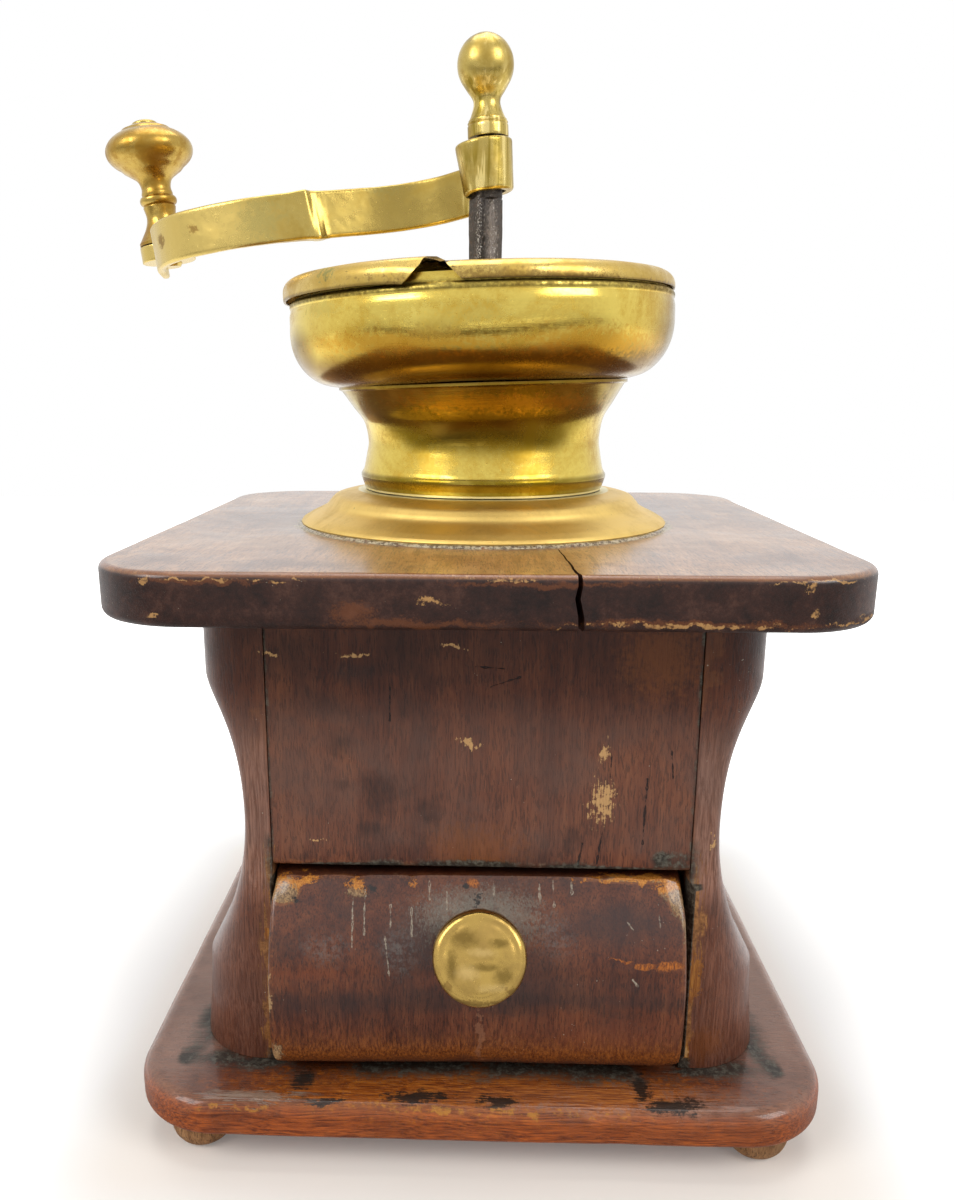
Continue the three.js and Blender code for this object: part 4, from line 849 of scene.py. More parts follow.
def onCrank(at, skin, colour, rough, height):
    # The strap's outer, lower part is painted lighter: a painted highlight
    bright = span(part(at, "X"), -48, -74)
    bright = times(bright, span(part(at, "Z"), 234, 231))
    colour = paint(colour, (0.7, 0.52, 0.16), bright, 0.8)
    _, colour = tint(at, crankMarks["dull"], skin["clouds"], 0.75, colour, (0.36, 0.25, 0.06), 0.9)
    _, colour = tint(at, crankMarks["green"], skin["fine"], 0.35, colour, (0.36, 0.33, 0.12), 0.7)
    flat = vectors("MULTIPLY", at, (1.0, 1.0, 0.04))
    onHub = span(lengthOf(flat), 13.2, 12.2)
    # Upright dark and light streaks on the hub: painted reflections
    reflectionStreaks = noise(flat, 0.42, 3, 0.6)
    colour = blend(times(onHub, span(reflectionStreaks, 0.5, 0.36)), colour, (0.3, 0.21, 0.03))
    colour = blend(times(onHub, span(reflectionStreaks, 0.56, 0.64)), colour, (0.86, 0.68, 0.26))
    spots, colour = tint(at, crankMarks["spots"], skin["fine"], 0.7, colour, browned, 0.4)
    return colour, timesPlus(spots, 0.2, rough), height


knobMarks = {
    "dark": [(-3.6, -90, 56.8, 3.0, 3, 1.7), (5.6, -93.6, 49.2, 2.0, 3, 1.6), (-6.4, -92.7, 51.2, 1.1, 3, 3.2),
             (1.2, -92.6, 51, 3.4, 3, 0.7), (4.8, -90, 56, 2.2, 3, 0.8)],
    "pale": [(0.6, -91.4, 54, 2.6, 3, 0.8), (3.2, -94.6, 46.8, 2.8, 3, 0.8), (-2.8, -93, 50, 2.2, 3, 1.2)],
    "specks": [(-2, -94, 43.4, 7, 5, 0.7), (7, -92, 45.8, 1.4, 5, 1.2), (-7.5, -92, 46.8, 1.2, 5, 1)]}


def onKnob(at, skin, colour, rough, height):
    soft = timesPlus(skin["fine"], 0.4, 0.3)
    # Dark and pale patches on the face: painted shade and painted highlights of its dents
    _, colour = tint(at, knobMarks["dark"], soft, 0.85, colour, (0.22, 0.14, 0.035), 0.7)
    _, colour = tint(at, knobMarks["pale"], soft, 0.6, colour, (0.74, 0.52, 0.2), 0.8)
    specks, colour = tint(at, knobMarks["specks"], skin["fine"], 0.55, colour, (0.12, 0.065, 0.02), 0.2)
    return colour, timesPlus(specks, 0.3, rough), height


mahogany = {"dark": (0.058, 0.013, 0.006), "mid": (0.132, 0.036, 0.0145), "light": (0.205, 0.066, 0.026),
            "pore": (0.012, 0.005, 0.004), "stain": (0.034, 0.017, 0.014), "worn": (0.21, 0.07, 0.022),
            "bare": (0.4, 0.23, 0.09), "fleck": (0.5, 0.44, 0.34), "pores": 0.55}
# The top board's tones are lighter than the case's: partly a painted reflection of the white room on its top
# face
topWood = {**mahogany, "dark": (0.16, 0.062, 0.02), "mid": (0.36, 0.165, 0.06), "light": (0.5, 0.26, 0.11),
           "pore": (0.04, 0.018, 0.01), "stain": (0.13, 0.065, 0.042)}
footWood = {**mahogany, "dark": (0.2, 0.09, 0.035), "mid": (0.37, 0.19, 0.08), "light": (0.5, 0.28, 0.13)}
plainWood = {**mahogany, "dark": (0.13, 0.07, 0.035), "mid": (0.26, 0.16, 0.085), "light": (0.38, 0.26, 0.15),
             "pore": (0.06, 0.03, 0.018), "stain": (0.14, 0.085, 0.055), "worn": (0.3, 0.19, 0.1)}
baseFinish = woodFinish("base wood, worn varnish", "x", mahogany, (0.25, 0.45, 0.55, 0.12), onBase)
caseFinish = woodFinish("case wood, worn varnish", "z", mahogany, (0.3, 0.5, 1.0, 0.18), onCase, seed=3.0)
drawerWood = {**mahogany, "dark": (0.048, 0.0105, 0.005), "mid": (0.112, 0.029, 0.011),
              "light": (0.175, 0.053, 0.019)}
drawerFinish = woodFinish("drawer front, chipped varnish", "z", drawerWood, (0.3, 0.5, 0.9, 0.2), onDrawer,
                          seed=7.0)
topFinish = woodFinish("top board, dry mottled varnish", "y", topWood, (0.3, 0.45, 0.9, 0.2), onTop, seed=11.0)
footFinish = woodFinish("turned feet, bare wood", "z", footWood, (0.45, 0.65, 0.0, 0.2), seed=5.0)
innerFinish = woodFinish("drawer's bare wood", "x", plainWood, (0.7, 0.85, 0.0, 0.3), seed=9.0)
hopperBrass = {"bright": (0.77, 0.59, 0.13), "tarnish": (0.55, 0.34, 0.04), "dirt": (0.08, 0.045, 0.014)}
drawerKnobBrass = {"bright": (0.56, 0.37, 0.1), "tarnish": (0.42, 0.27, 0.08), "dirt": (0.12, 0.07, 0.03)}
satinBrass = {"bright": (0.72, 0.52, 0.16), "tarnish": (0.5, 0.33, 0.07), "dirt": (0.08, 0.05, 0.02)}
flangeBrass = {"bright": (0.84, 0.59, 0.18), "tarnish": (0.7, 0.46, 0.12), "dirt": (0.12, 0.08, 0.03)}
castBrass = {"bright": (0.54, 0.405, 0.115), "tarnish": (0.4, 0.275, 0.06), "dirt": (0.1, 0.06, 0.02)}
handledBrass = {"bright": (0.5, 0.34, 0.085), "tarnish": (0.36, 0.2, 0.03), "dirt": (0.07, 0.035, 0.012)}
hopperFinish = brassFinish("hopper brass", hopperBrass, (0.16, 0.33), 0.045, (0.4, 0.7), 0.5, onHopper)
flangeFinish = brassFinish("dull flange brass", flangeBrass, (0.4, 0.55), 0.05, (0.4, 0.75), 0.4, onFlange)
lidFinish = brassFinish("lid brass", satinBrass, (0.2, 0.42), 0.06, (0.35, 0.7), 0.3, onLid)
crankFinish = brassFinish("cast crank brass", castBrass, (0.27, 0.42), 0.09, (0.42, 0.72), marks=onCrank)
handleFinish = brassFinish("crank knob brass, browned by hands", handledBrass, (0.2, 0.4), 0.12, (0.35, 0.65))
knobFinish = brassFinish("drawer knob brass", drawerKnobBrass, (0.22, 0.36), 0.14, (0.35, 0.7), marks=onKnob)


spindleMarks = {"groove": [(-0.8, -4.6, 198, 0.8, 1.5, 34)], "facet": [(2.1, -4.4, 223, 1.4, 2, 9)],
                "glints": [(-1.9, -4.6, 200, 0.7, 2, 30), (2.3, -4.6, 196, 0.8, 2, 26)]}


def ironFinish(name, tone, rough, marks=None):
    shade = lambda share: tuple(min(c * share, 1) for c in tone)
    material, shader = startFinish(name)
    at = onObject()
    clouds = noise(at, 0.15, 5, 0.65)
    rust = span(noise(at, 0.6, 4, 0.7), 0.55, 0.72)
    colour = ramp(clouds, [(0.3, shade(0.5)), (0.7, tone)])
    colour = paint(colour, (0.13, 0.06, 0.025), rust, 0.5)
    fine = noise(stretched(at, (1, 1, 0.45)), 1.6, 4, 0.75)
    colour = blend(span(fine, 0.58, 0.72, 0, 0.7), colour, shade(3.2))
    colour = blend(span(fine, 0.42, 0.34, 0, 0.8), colour, shade(0.15))
    if marks:
        # Painted light on the spindle: a lighter facet, painted shade in the groove and painted glints along
        # two edges
        _, colour = tint(at, marks["facet"], fine, 0.6, colour, shade(2.2), 0.2)
        _, colour = tint(at, marks["groove"], fine, 0.85, colour, shade(0.12), 0.5)
        glints = span(noise(at, 2.2, 2, 0.6), 0.54, 0.6)
        _, colour = tint(at, marks["glints"], fine, 0.9, colour, (0.62, 0.59, 0.55), 0.6, glints)
    fill(shader, {"Base Color": colour, "Roughness": span(clouds, 0.3, 0.7, *rough),
                  "Normal": bumps(fine, 0.0005, 0.8), "Metallic": 0.8})
    return material


spindleFinish = ironFinish("forged spindle iron", (0.11, 0.095, 0.085), (0.3, 0.5), spindleMarks)
castFinish = ironFinish("cast burr iron", (0.09, 0.085, 0.08), (0.45, 0.7))
steelFinish = ironFinish("old steel hardware", (0.26, 0.25, 0.235), (0.35, 0.6))
print("finishes made")


# Boards: a rounded square, its edges rounded over
def roundedSquare(half, corner):
    straight, bend = 56, 22  # steps on a side and round a corner
    reach = half - corner
    ring = []
    for sx, sy, start in [(1, 1, 0), (-1, 1, 90), (-1, -1, 180), (1, -1, 270)]:
        turn = np.radians(np.linspace(start, start + 90, bend + 1))
        bendPoints = np.c_[sx * reach + corner * np.cos(turn), sy * reach + corner * np.sin(turn)]
        ring.append(bendPoints)
        step = {0: (-1, 0), 90: (0, -1), 180: (1, 0), 270: (0, 1)}[start]
        run = np.linspace(0, 2 * reach, straight + 1)[1:-1, None] * np.array(step)
        ring.append(bendPoints[-1] + run)
    return np.vstack(ring)


def boardRings(size, hole):
    # From the hole out along the underside, up the edge and back over the top
    half, corner, low, high = size["width"] / 2, size["corner"], size["low"], size["low"] + size["thick"]
    over, under = size["overEdge"], size["underEdge"]
    inmost = roundedSquare(half - 10, corner - 10)
    turn = np.arctan2(inmost[:, 1], inmost[:, 0])
    centre = np.c_[hole * np.cos(turn), hole * np.sin(turn)]
    inner = [centre + (inmost - centre) * s for s in np.linspace(0, 1, 14)]
    edge = [(inset, low) for inset in np.arange(8.5, under, -1.5)]
    edge += [(inset, low + rise) for inset, rise in arc(under, under, under, under, 270, 180, 7)]
    edge += [(0, low + rise) for rise in np.arange(under + 0.9, size["thick"] - over - 0.4, 0.9)]
    edge += [(inset, low + rise) for inset, rise in arc(over, size["thick"] - over, over, over, 180, 90, 8)]
    edge += [(inset, high) for inset in np.arange(over + 0.8, 9.2, 1.2)]
    return [*(level(flat, low) for flat in inner),
            *(level(roundedSquare(half - inset, corner - inset), z) for inset, z in edge),
            *(level(flat, high) for flat in inner[::-1])]


base = {"width": 178.4, "thick": 10, "low": 0, "corner": 23, "overEdge": 4, "underEdge": 2, "screwX": 59,
        "screwY": 42, "screwHead": 4.2, "screwSink": 2.6, "screwHole": 2.1, "caseX": 75.2, "caseY": 72.6}


def makeBase():
    mesh = solid("base", loft(boardRings(base, 1.5)))
    head, hole, sink = base["screwHead"], base["screwHole"], base["screwSink"]
    sinks = [rodMesh((head + 0.2, head, hole, hole), (-1, 0, sink, 9), x, y)
             for x in (-base["screwX"], base["screwX"]) for y in (-base["screwY"], base["screwY"])]
    waver(mesh, 0.16, 22, 4, [((-60, -88, 6), (6, 4, 4), 0.5), ((35, -89, 3), (5, 3, 2.5), 0.6)])
    mesh = cutAway(mesh, sinks)
    weather(mesh, 0.6, [((x, -88, 8.5), (22, 3, 3), 0.4) for x in (-66, -12, 20, 80)]
            + [((x, -89, 1), (30, 3, 2.5), 0.45) for x in (-30, 40)])
    points = pointsOf(mesh)
    reach = 5.6 + 4.6 * smoothStep(-points[:, 1], 70, 74) * smoothStep(-abs(points[:, 0]), -57, -50)
    besideCase = nearBox(points, base["caseX"], base["caseY"], reach) * (points[:, 2] > 8)
    soil(mesh, besideCase * (0.75 + 0.7 * layeredNoise(points, 9, 3, 5)))
    finish("baseBoard", mesh, "mill", ["base_board"], baseFinish)


top = {
    "width": 180, "thick": 12.5, "low": 130.5, "corner": 23, "overEdge": 1.8, "underEdge": 2.2, "throat": 17,
    "boltX": 25.5, "boltHole": 2.5,
    "crust": [[53.0, 142.6], [54.7, 142.6], [54.5, 143.0], [54.2, 143.3], [53.7, 143.6], [53.0, 143.6]],
    "crack": [(18.7, -54.5, 0.3), (19.1, -66, 0.5), (19.4, -75.3, 0.6), (19.6, -83, 0.75), (20.1, -88, 1.1),
              (20.2, -93, 1.6)]}


def crackCutter():
    # A drying crack from the front edge to the flange: thin on top, open on the front face
    line = np.array(top["crack"])
    steps = np.linspace(0, len(line) - 1, 46)
    path = np.array([[np.interp(s, range(len(line)), line[:, k]) for k in range(3)] for s in steps])
    jag = 0.35 * layeredNoise(np.c_[path[:, 1], path[:, 1] * 0, path[:, 1] * 0], 3.2, 3, 21)
    rings = []
    for z, lean, share in ((128, 0.9, 1.25), (134, 0.6, 1.0), (138, -0.25, 0.9), (141, 0.3, 0.8),
                           (145, 0.0, 0.75)):
        x = path[:, 0] + jag + lean * smoothStep(-path[:, 1], 60, 90)
        left, right = (np.c_[x + way * path[:, 2] * share / 2, path[:, 1]] for way in (-1, 1))
        rings.append(level(np.r_[left, right[::-1]], z))
    return solid("crack", loft(rings))


def makeTop():
    mesh = solid("top", loft(boardRings(top, top["throat"]), loop=True))
    waver(mesh, 0.14, 26, 9)
    holes = [rodMesh((top["boltHole"],) * 2, (120, 150), s * top["boltX"], 0) for s in (-1, 1)]
    mesh = cutAway(mesh, [*holes, crackCutter()])
    crust = turned("crust", densify(top["crust"], 0.5, True), topFinish, 260)
    waver(crust, 0.3, 2.0, 9)
    joinInto(mesh, [mesh, crust])
    weather(mesh, 0.7, [((45, -89.5, 132.5), (34, 3, 1.6), 0.75), ((84, -82, 132.8), (9, 9, 2), 0.9),
                        ((-62, -89, 141), (24, 3, 1.6), 0.5), ((-10, -89.5, 132), (14, 3, 1.6), 0.55)])
    points = pointsOf(mesh)
    ring = smoothStep(abs(np.hypot(points[:, 0], points[:, 1]) - 54), 4, 0.6) * (points[:, 2] > 140)
    soil(mesh, 0.3 * ring * (0.7 + 0.6 * layeredNoise(points, 8, 3, 3)))
    finish("topBoard", mesh, "mill", ["top_board"], topFinish)


makeBase()
makeTop()

case = {
    "height": 120.5, "depth": 144, "inner": 52, "topThick": 17.1, "waist": 6.9, "waistAt": 68, "swell": 20.4,
    "swellAt": 25, "foot": 22.8, "land": 16.5, "frontLand": 4, "low": 10, "joint": 0.2,
    "arris": {-1: 0.5, 1: 1.3}}


def sideThickness():
    c = SimpleNamespace(**case)
    shoulder = c.height - c.land
    line = bezier([(c.foot, 0), ((c.foot + c.swell) / 2 - 0.6, c.swellAt * 0.6),
                   (c.swell, c.swellAt)], 24)[:-1]
    line += bezier([(c.swell, c.swellAt), (c.swell - 1.5, c.swellAt + 4),
                    (c.waist, (c.swellAt + c.waistAt) / 2), (c.waist, c.waistAt)], 34)[:-1]
    line += bezier([(c.waist, c.waistAt), (c.waist, shoulder - 12),
                    (c.topThick, shoulder - 7), (c.topThick, shoulder)], 30)
    return densify([list(p) for p in line] + [[c.topThick, c.height]], 1.6)


def makeSide(side, name, nodeName):
    c = SimpleNamespace(**case)
    half, inner = c.depth / 2, c.inner
    rings = []
    for thick, height in sideThickness():
        r = max(thick - c.frontLand, 1)
        land = thick - r
        front = arc(land, -half + r, r, r, -90, 0, 16)
        back = arc(land, half - r, r, r, 0, 90, 16)
        rubbed = c.arris[side] * smoothStep(height, 1, 4) * smoothStep(-height, -54, -50)
        ring = [[0, -half + 2.2 * rubbed], [rubbed, -half + 0.01], [rubbed + 0.35, -half], *front,
                *[[thick, y] for y in np.linspace(-half + r, half - r, 60)[1:-1]], *back, [0, half]]
        ring += [[0, y] for y in np.linspace(half, -half + 4, 40)[1:-1]]
        z = c.low + min(max(height, c.joint), c.height - c.joint)
        ring = np.array(ring)
        rings.append(level(np.c_[side * (inner + ring[:, 0]), ring[:, 1]], z))
    mesh = solid(name, loft(rings))
    waver(mesh, 0.12, 24, 31 + side)
    weather(mesh, 0.55, [((side * 53, -72, 38), (1.6, 2.5, 24), 0.62),
                         ((side * 53, -72, 95), (1.2, 2, 30), 0.25)],
            [((side * 64, 0, 10.5), (16, 80, 3), 0.75), ((side * 62, 0, 130), (14, 80, 3), 0.6),
             ((side * 52, -72, 66), (2, 3, 10), 0.7)])
    x, y, z = pointsOf(mesh).T
    soil(mesh, 1.4 * (abs(x) < inner + c.arris[side] + 0.1) * (y < -66) * (z < 62))
    finish(name, mesh, "mill", [nodeName], caseFinish)


makeSide(-1, "caseSideLeft", "case_side_left")
makeSide(1, "caseSideRight", "case_side_right")

panel = {"half": 51.8, "front": -71.6, "thick": 10, "low": 65.5, "high": 130.3, "edge": 1.5, "back": 72,
         "backThick": 9, "backLow": 10.2}


def makePanels():
    p = SimpleNamespace(**panel)
    y0, y1, z0, z1, r = p.front, p.front + p.thick, p.low, p.high, p.edge
    outline = [[y0, z1], *arc(y0 + r, z0 + r, r, r, 180, 270, 6), [y1, z0], [y1, z1]]
    mesh = solid("frontPanel", barAlong(0, densify(outline, 1.6, True), np.linspace(-p.half, p.half, 76)))
    waver(mesh, 0.12, 18, 12)
    weather(mesh, 0.5, [], [((0, -71.6, 65.4), (56, 6, 2.2), 0.95), ((47.3, -71.6, 68.5), (6, 4, 3.6), 0.8),
                            ((0, -71.6, 130.4), (60, 4, 4), 0.6), ((52, -71.6, 100), (1.4, 4, 40), 0.75),
                            ((-52, -71.6, 100), (1.4, 4, 40), 0.75)])
    finish("frontPanel", mesh, "mill", ["case_front_panel"], caseFinish)
    inner, outer, low = p.back - p.backThick, p.back, p.backLow
    outline = densify([[inner, low], [outer, low], [outer, z1], [inner, z1]], 4, True)
    mesh = solid("backPanel", barAlong(0, outline, np.linspace(-p.half, p.half, 40), 0.5))
    waver(mesh, 0.1, 24, 14)
    weather(mesh, 0.5, [], [((0, 72, 10), (60, 4, 4), 0.9), ((0, 72, 130), (60, 4, 4), 0.7)])
    finish("backPanel", mesh, "mill", ["case_back_panel"], caseFinish)


makePanels()
print("case made")

# Drawer: a bow-fronted face on a plain box, with a turned brass knob
drawer = {"low": 11.8, "high": 63.0, "faceTop": -71.5, "thick": 8.5, "bulge": 11, "bulgeAt": 21, "tuck": 8,
          "topEdge": 1.2, "left": -51.8, "right": 50.5, "proud": 1.4,
          "topChips": [(-30.8, 2.2), (-17, 1.2), (-43, 3), (30, 2), (41, 2.4)]}
drawerKnob = {"radius": 11.1, "length": 14, "rimDepth": 6.4, "rim": 2, "dome": 0.9, "neck": 3.8, "sink": 3.0,
              "screw": 2.1, "screwLength": 7, "tilt": 25, "at": (0, -79.2, 47)}
# Plain boards: name, node, axis, low and high corner of the outline, start and end along the axis
drawerBoards = [("drawerSideLeft", "drawer_side_left", 1, (-51.5, 10.3), (-45.5, 51.2), -62.8, 60.2),
                ("drawerSideRight", "drawer_side_right", 1, (45.5, 10.3), (51.5, 51.2), -62.8, 60.2),
                ("drawerFloor", "drawer_floor", 1, (-45.2, 12.3), (45.2, 15.7), -62.8, 60.1),
                ("drawerBack", "drawer_back", 0, (54.3, 16.1), (60.1, 49.2), -45.2, 45.2)]


def drawerFace():
    d = SimpleNamespace(**drawer)
    high, low = d.high, d.low
    face, bow, middle = d.faceTop, d.faceTop - d.bulge, d.low + d.bulgeAt
    upper = bezier([(face, high - d.topEdge), (bow + d.bulge / 2, high - 9), (bow, middle + 15),
                    (bow, middle)], 30)
    lower = bezier([(bow, middle), (bow, middle - d.bulgeAt / 2), (bow + d.tuck * 0.2, low + 2.2),
                    (bow + d.tuck, low)], 22)
    back = face + d.thick
    return [[face + d.topEdge, high], *[list(p) for p in upper[:-1]], *[list(p) for p in lower], [back, low],
            [back, high]]


def makeDrawer():
    outline = densify(drawerFace(), 1.3, True)
    left, right, near = drawer["left"], drawer["right"], np.array([0, 0.2, 0.5, 0.9])
    stops = np.r_[left + near, np.linspace(left + 1.4, right - 1.4, 100), right - near[::-1]]
    mesh = solid("drawerFront", barAlong(0, outline, stops, 1.1))
    x, y, z = pointsOf(mesh).T
    fore = smoothStep(-y, 66, 72)
    proud = drawer["proud"] * smoothStep(-x, -10, 50)
    corner = smoothStep(x, 45.5, 50.4) * smoothStep(z, 55, 62.5)
    knocked = smoothStep(-x, 46.5, 51.6) * smoothStep(z, 57, 63)
    chipped = sum(np.exp(-((x - at) / wide) ** 2) for at, wide in drawer["topChips"]) * smoothStep(z, 60.5, 63)
    lowered = 1.3 * corner + 1.1 * knocked + 0.5 * chipped
    lifted = 1.3 * smoothStep(-z, -24, -12) + 0.9 * smoothStep(x, 45, 50.4) * smoothStep(-z, -17, -12)
    setPoints(mesh, np.c_[x + (0.8 * knocked - 0.6 * corner) * fore, y - proud * fore,
                          z + (lifted - lowered) * fore])
    waver(mesh, 0.14, 20, 40)
    holes = [rodMesh((2.3, 2.3), (-12, 2)), rodMesh((4.0, 4.0), (-3.2, 9))]  # for the knob's screw and neck
    for hole in holes:
        tilted(hole, "X", 90 - drawerKnob["tilt"], drawerKnob["at"])
    mesh = cutAway(mesh, holes)
    weather(mesh, 0.5, [((-49, -74, 60), (5, 5, 4), 1.05), ((49.0, -74, 60), (3.4, 5, 5), 1.05),
                        ((38, -71, 63), (16, 3, 1.4), 0.8), ((50.4, -78, 50), (0.8, 5, 10), 0.6),
                        ((-51.4, -80, 40), (0.6, 6, 26), 0.4)],
            [((0, -79, 47), (13.5, 8, 13.5), 0.3), ((0, -72, 64), (60, 4, 2), 0.4)])
    finish("drawerFront", mesh, "drawer", ["drawer_front"], drawerFinish)


def makePlank(name, nodeName, axis, corner, opposite, low, high):
    (a, b), (c, d) = corner, opposite
    stops = np.r_[low, low + 0.3, np.linspace(low + 1, high - 1, 30), high - 0.3, high]
    mesh = solid(name, barAlong(axis, densify([[a, b], [c, b], [c, d], [a, d]], 5, True), stops, 0.6))
    waver(mesh, 0.06, 20, 60)
    weather(mesh, 0.5)
    finish(name, mesh, "drawer", [nodeName], innerFinish)


makeDrawer()
for board in drawerBoards:
    makePlank(*board)


def makeDrawerKnob():
    k = SimpleNamespace(**drawerKnob)
    back, front = k.length - k.dome - k.rimDepth, k.length - k.dome
    r, rim = k.radius, k.rim
    outline = [[0, -k.sink - k.screwLength], [k.screw, -k.sink - k.screwLength + 2], [k.screw, -k.sink],
               [k.neck, -k.sink], [k.neck, back - 2.4],
               *through([[k.neck, back - 2.4], [k.neck + 1.4, back - 0.6], [r - rim - 1, back]], 10)[1:],
               *arc(r - rim, back + rim, rim, rim, -70, 0, 8), *arc(r - rim, front - rim, rim, rim, 0, 78, 12),
               [r - rim - 0.4, front - 0.02], *arc(0, front - 0.1, r - rim - 0.6, k.dome, 25, 90, 14)]
    mesh = turned("drawerKnob", densify(outline, 0.6), knobFinish, 96, False)
    tilted(mesh, "X", 90 - k.tilt, k.at)
    waver(mesh, 0.3, 7, 70, [((-4, -90, 55), (4, 4, 3), 0.5), ((4, -88, 57), (3, 3, 3), 0.45),
                             ((1, -92, 52), (3.5, 4, 2.5), 0.5), ((-6, -91, 49), (2.5, 4, 3), 0.35),
                             ((5, -92, 50), (2.5, 4, 2.2), 0.3)])
    finish("drawerKnob", mesh, "drawer", ["drawer_knob"], knobFinish)


makeDrawerKnob()
print("drawer made")

# Hopper: flange, waisted neck, deep bowl and the two-part lid; the old bowl leans to -X
hopper = {
    "wall": 1.1, "flange": 53.6, "flangeFoot": 143.3, "flangeHigh": 9.6, "ringAt": 41, "shoulder": 44.4,
    "flangeInner": 29, "neckFoot": 35.7, "undercut": 1.2, "waist": 33.5, "waistAt": 13, "neckTop": 40.6,
    "neckLow": 153.2, "neckHigh": 29.6, "bowlLow": 183.1, "bowlFloor": 42.4, "bowl": 54.1, "wallRise": 15.5,
    "bowlHigh": 20.3, "bead": 1.4, "collar": 52.5, "collarHigh": 2.4, "facets": 160}
lean = {"degrees": 1.8, "start": 158.4, "end": 182.8, "pivot": 170.6}


def leanPoints(points, whole=False):
    share = np.ones(len(points)) if whole else smoothStep(points[:, 2], lean["start"], lean["end"])
    turn = np.radians(-lean["degrees"]) * share
    x, z = points[:, 0], points[:, 2] - lean["pivot"]
    return np.c_[x * np.cos(turn) + z * np.sin(turn), points[:, 1],
                 -x * np.sin(turn) + z * np.cos(turn) + lean["pivot"]]


def leanOver(mesh):
    points = pointsOf(mesh)
    attribute(mesh, "rise", points[:, 2])
    setPoints(mesh, leanPoints(points))


def makeHopper():
    h = SimpleNamespace(**hopper)
    z, rise = h.flangeFoot, h.flangeHigh
    outer = [[h.flange - 0.3, z], [h.flange, z + 0.7], [h.flange - 0.4, z + 1.3],
             *through([[h.flange - 2.6, z + rise * 0.27], [h.shoulder + 2.2, z + rise * 0.5],
                       [h.shoulder + 0.6, z + rise * 0.68], [h.shoulder - 1, z + rise * 0.84],
                       [h.ringAt, z + rise * 0.92]], 24),
             [h.neckFoot + 1, z + rise], [h.flangeInner, z + rise]]
    mesh = turned("flange", sheetOutline(densify(outer, 0.8), h.wall), flangeFinish, h.facets)
    waver(mesh, 0.1, 14, 80)
    attribute(mesh, "rise", pointsOf(mesh)[:, 2])
    finish("hopperFlange", mesh, "mill", ["hopper_flange"], flangeFinish)

    z = h.neckLow
    outer = [[h.neckFoot - h.undercut, z],
             *through([[h.neckFoot - 1.0, z + 0.4], [h.neckFoot - 0.1, z + 2.9], [h.neckFoot + 0.1, z + 4.2],
                       [h.neckFoot - 0.4, z + 5.1]], 14),
             *through([[h.neckFoot - 0.8, z + 5.9], [h.waist + 0.6, z + h.waistAt - 3],
                       [h.waist + 0.1, z + h.waistAt + 1], [h.waist + 1.1, z + h.waistAt + 6.5],
                       [(h.waist + h.neckTop) / 2 + 0.2, z + h.neckHigh - 6],
                       [h.neckTop, z + h.neckHigh - 0.9]], 40),
             [h.neckTop + 0.9, z + h.neckHigh - 0.5], [h.neckTop + 0.9, z + h.neckHigh + 0.2]]
    mesh = turned("neck", sheetOutline(densify(outer, 0.9), h.wall), hopperFinish, h.facets)
    waver(mesh, 0.12, 18, 82)
    leanOver(mesh)
    finish("hopperNeck", mesh, "mill", ["hopper_neck"], hopperFinish)

    z, rim = h.bowlLow, h.bowlLow + h.bowlHigh
    bead, wall = h.bowl - 0.1 - h.bead, h.wall
    throat = h.neckTop - wall - 0.6
    high = rim + 2 * h.bead + h.collarHigh
    belly = h.bowl - h.bowlFloor + 1
    outer = [[throat, z], [h.bowlFloor - 1, z + 0.1],
             *arc(h.bowlFloor - 1, z + h.wallRise, belly, h.wallRise - 0.4, -78, 0, 28),
             [h.bowl, rim - 1.2], [h.bowl - 0.3, rim + 0.3],
             *arc(bead, rim + h.bead, h.bead, h.bead, -34, 90, 12),
             [h.collar, rim + 2 * h.bead + 0.1], [h.collar, high]]
    inside = [[h.collar - wall, high], [h.collar - wall, rim - 0.4], [h.bowl - wall, rim - 1.6],
              *arc(h.bowlFloor - 1, z + h.wallRise, belly - wall, h.wallRise - 0.4 - wall, 0, -72, 24),
              [throat, z + wall]]
    mesh = turned("bowl", densify(outer + inside, 0.9, True), hopperFinish, h.facets)
    waver(mesh, 0.14, 22, 84, [((-50, -20, 189), (20, 20, 9), -0.9), ((20, -48, 192), (12, 12, 6), 0.3)])
    leanOver(mesh)
    finish("hopperBowl", mesh, "mill", ["hopper_bowl"], hopperFinish)


makeHopper()

lid = {
    "wall": 0.8, "fixed": 54.0, "swing": 55.7, "fold": 3.6, "lip": 4.5, "swingLip": 5.8, "hole": 7.2,
    "eye": 11.5, "split": -11.7, "gap": 1.9, "fixedTop": 211.0, "swingTop": 212.1}


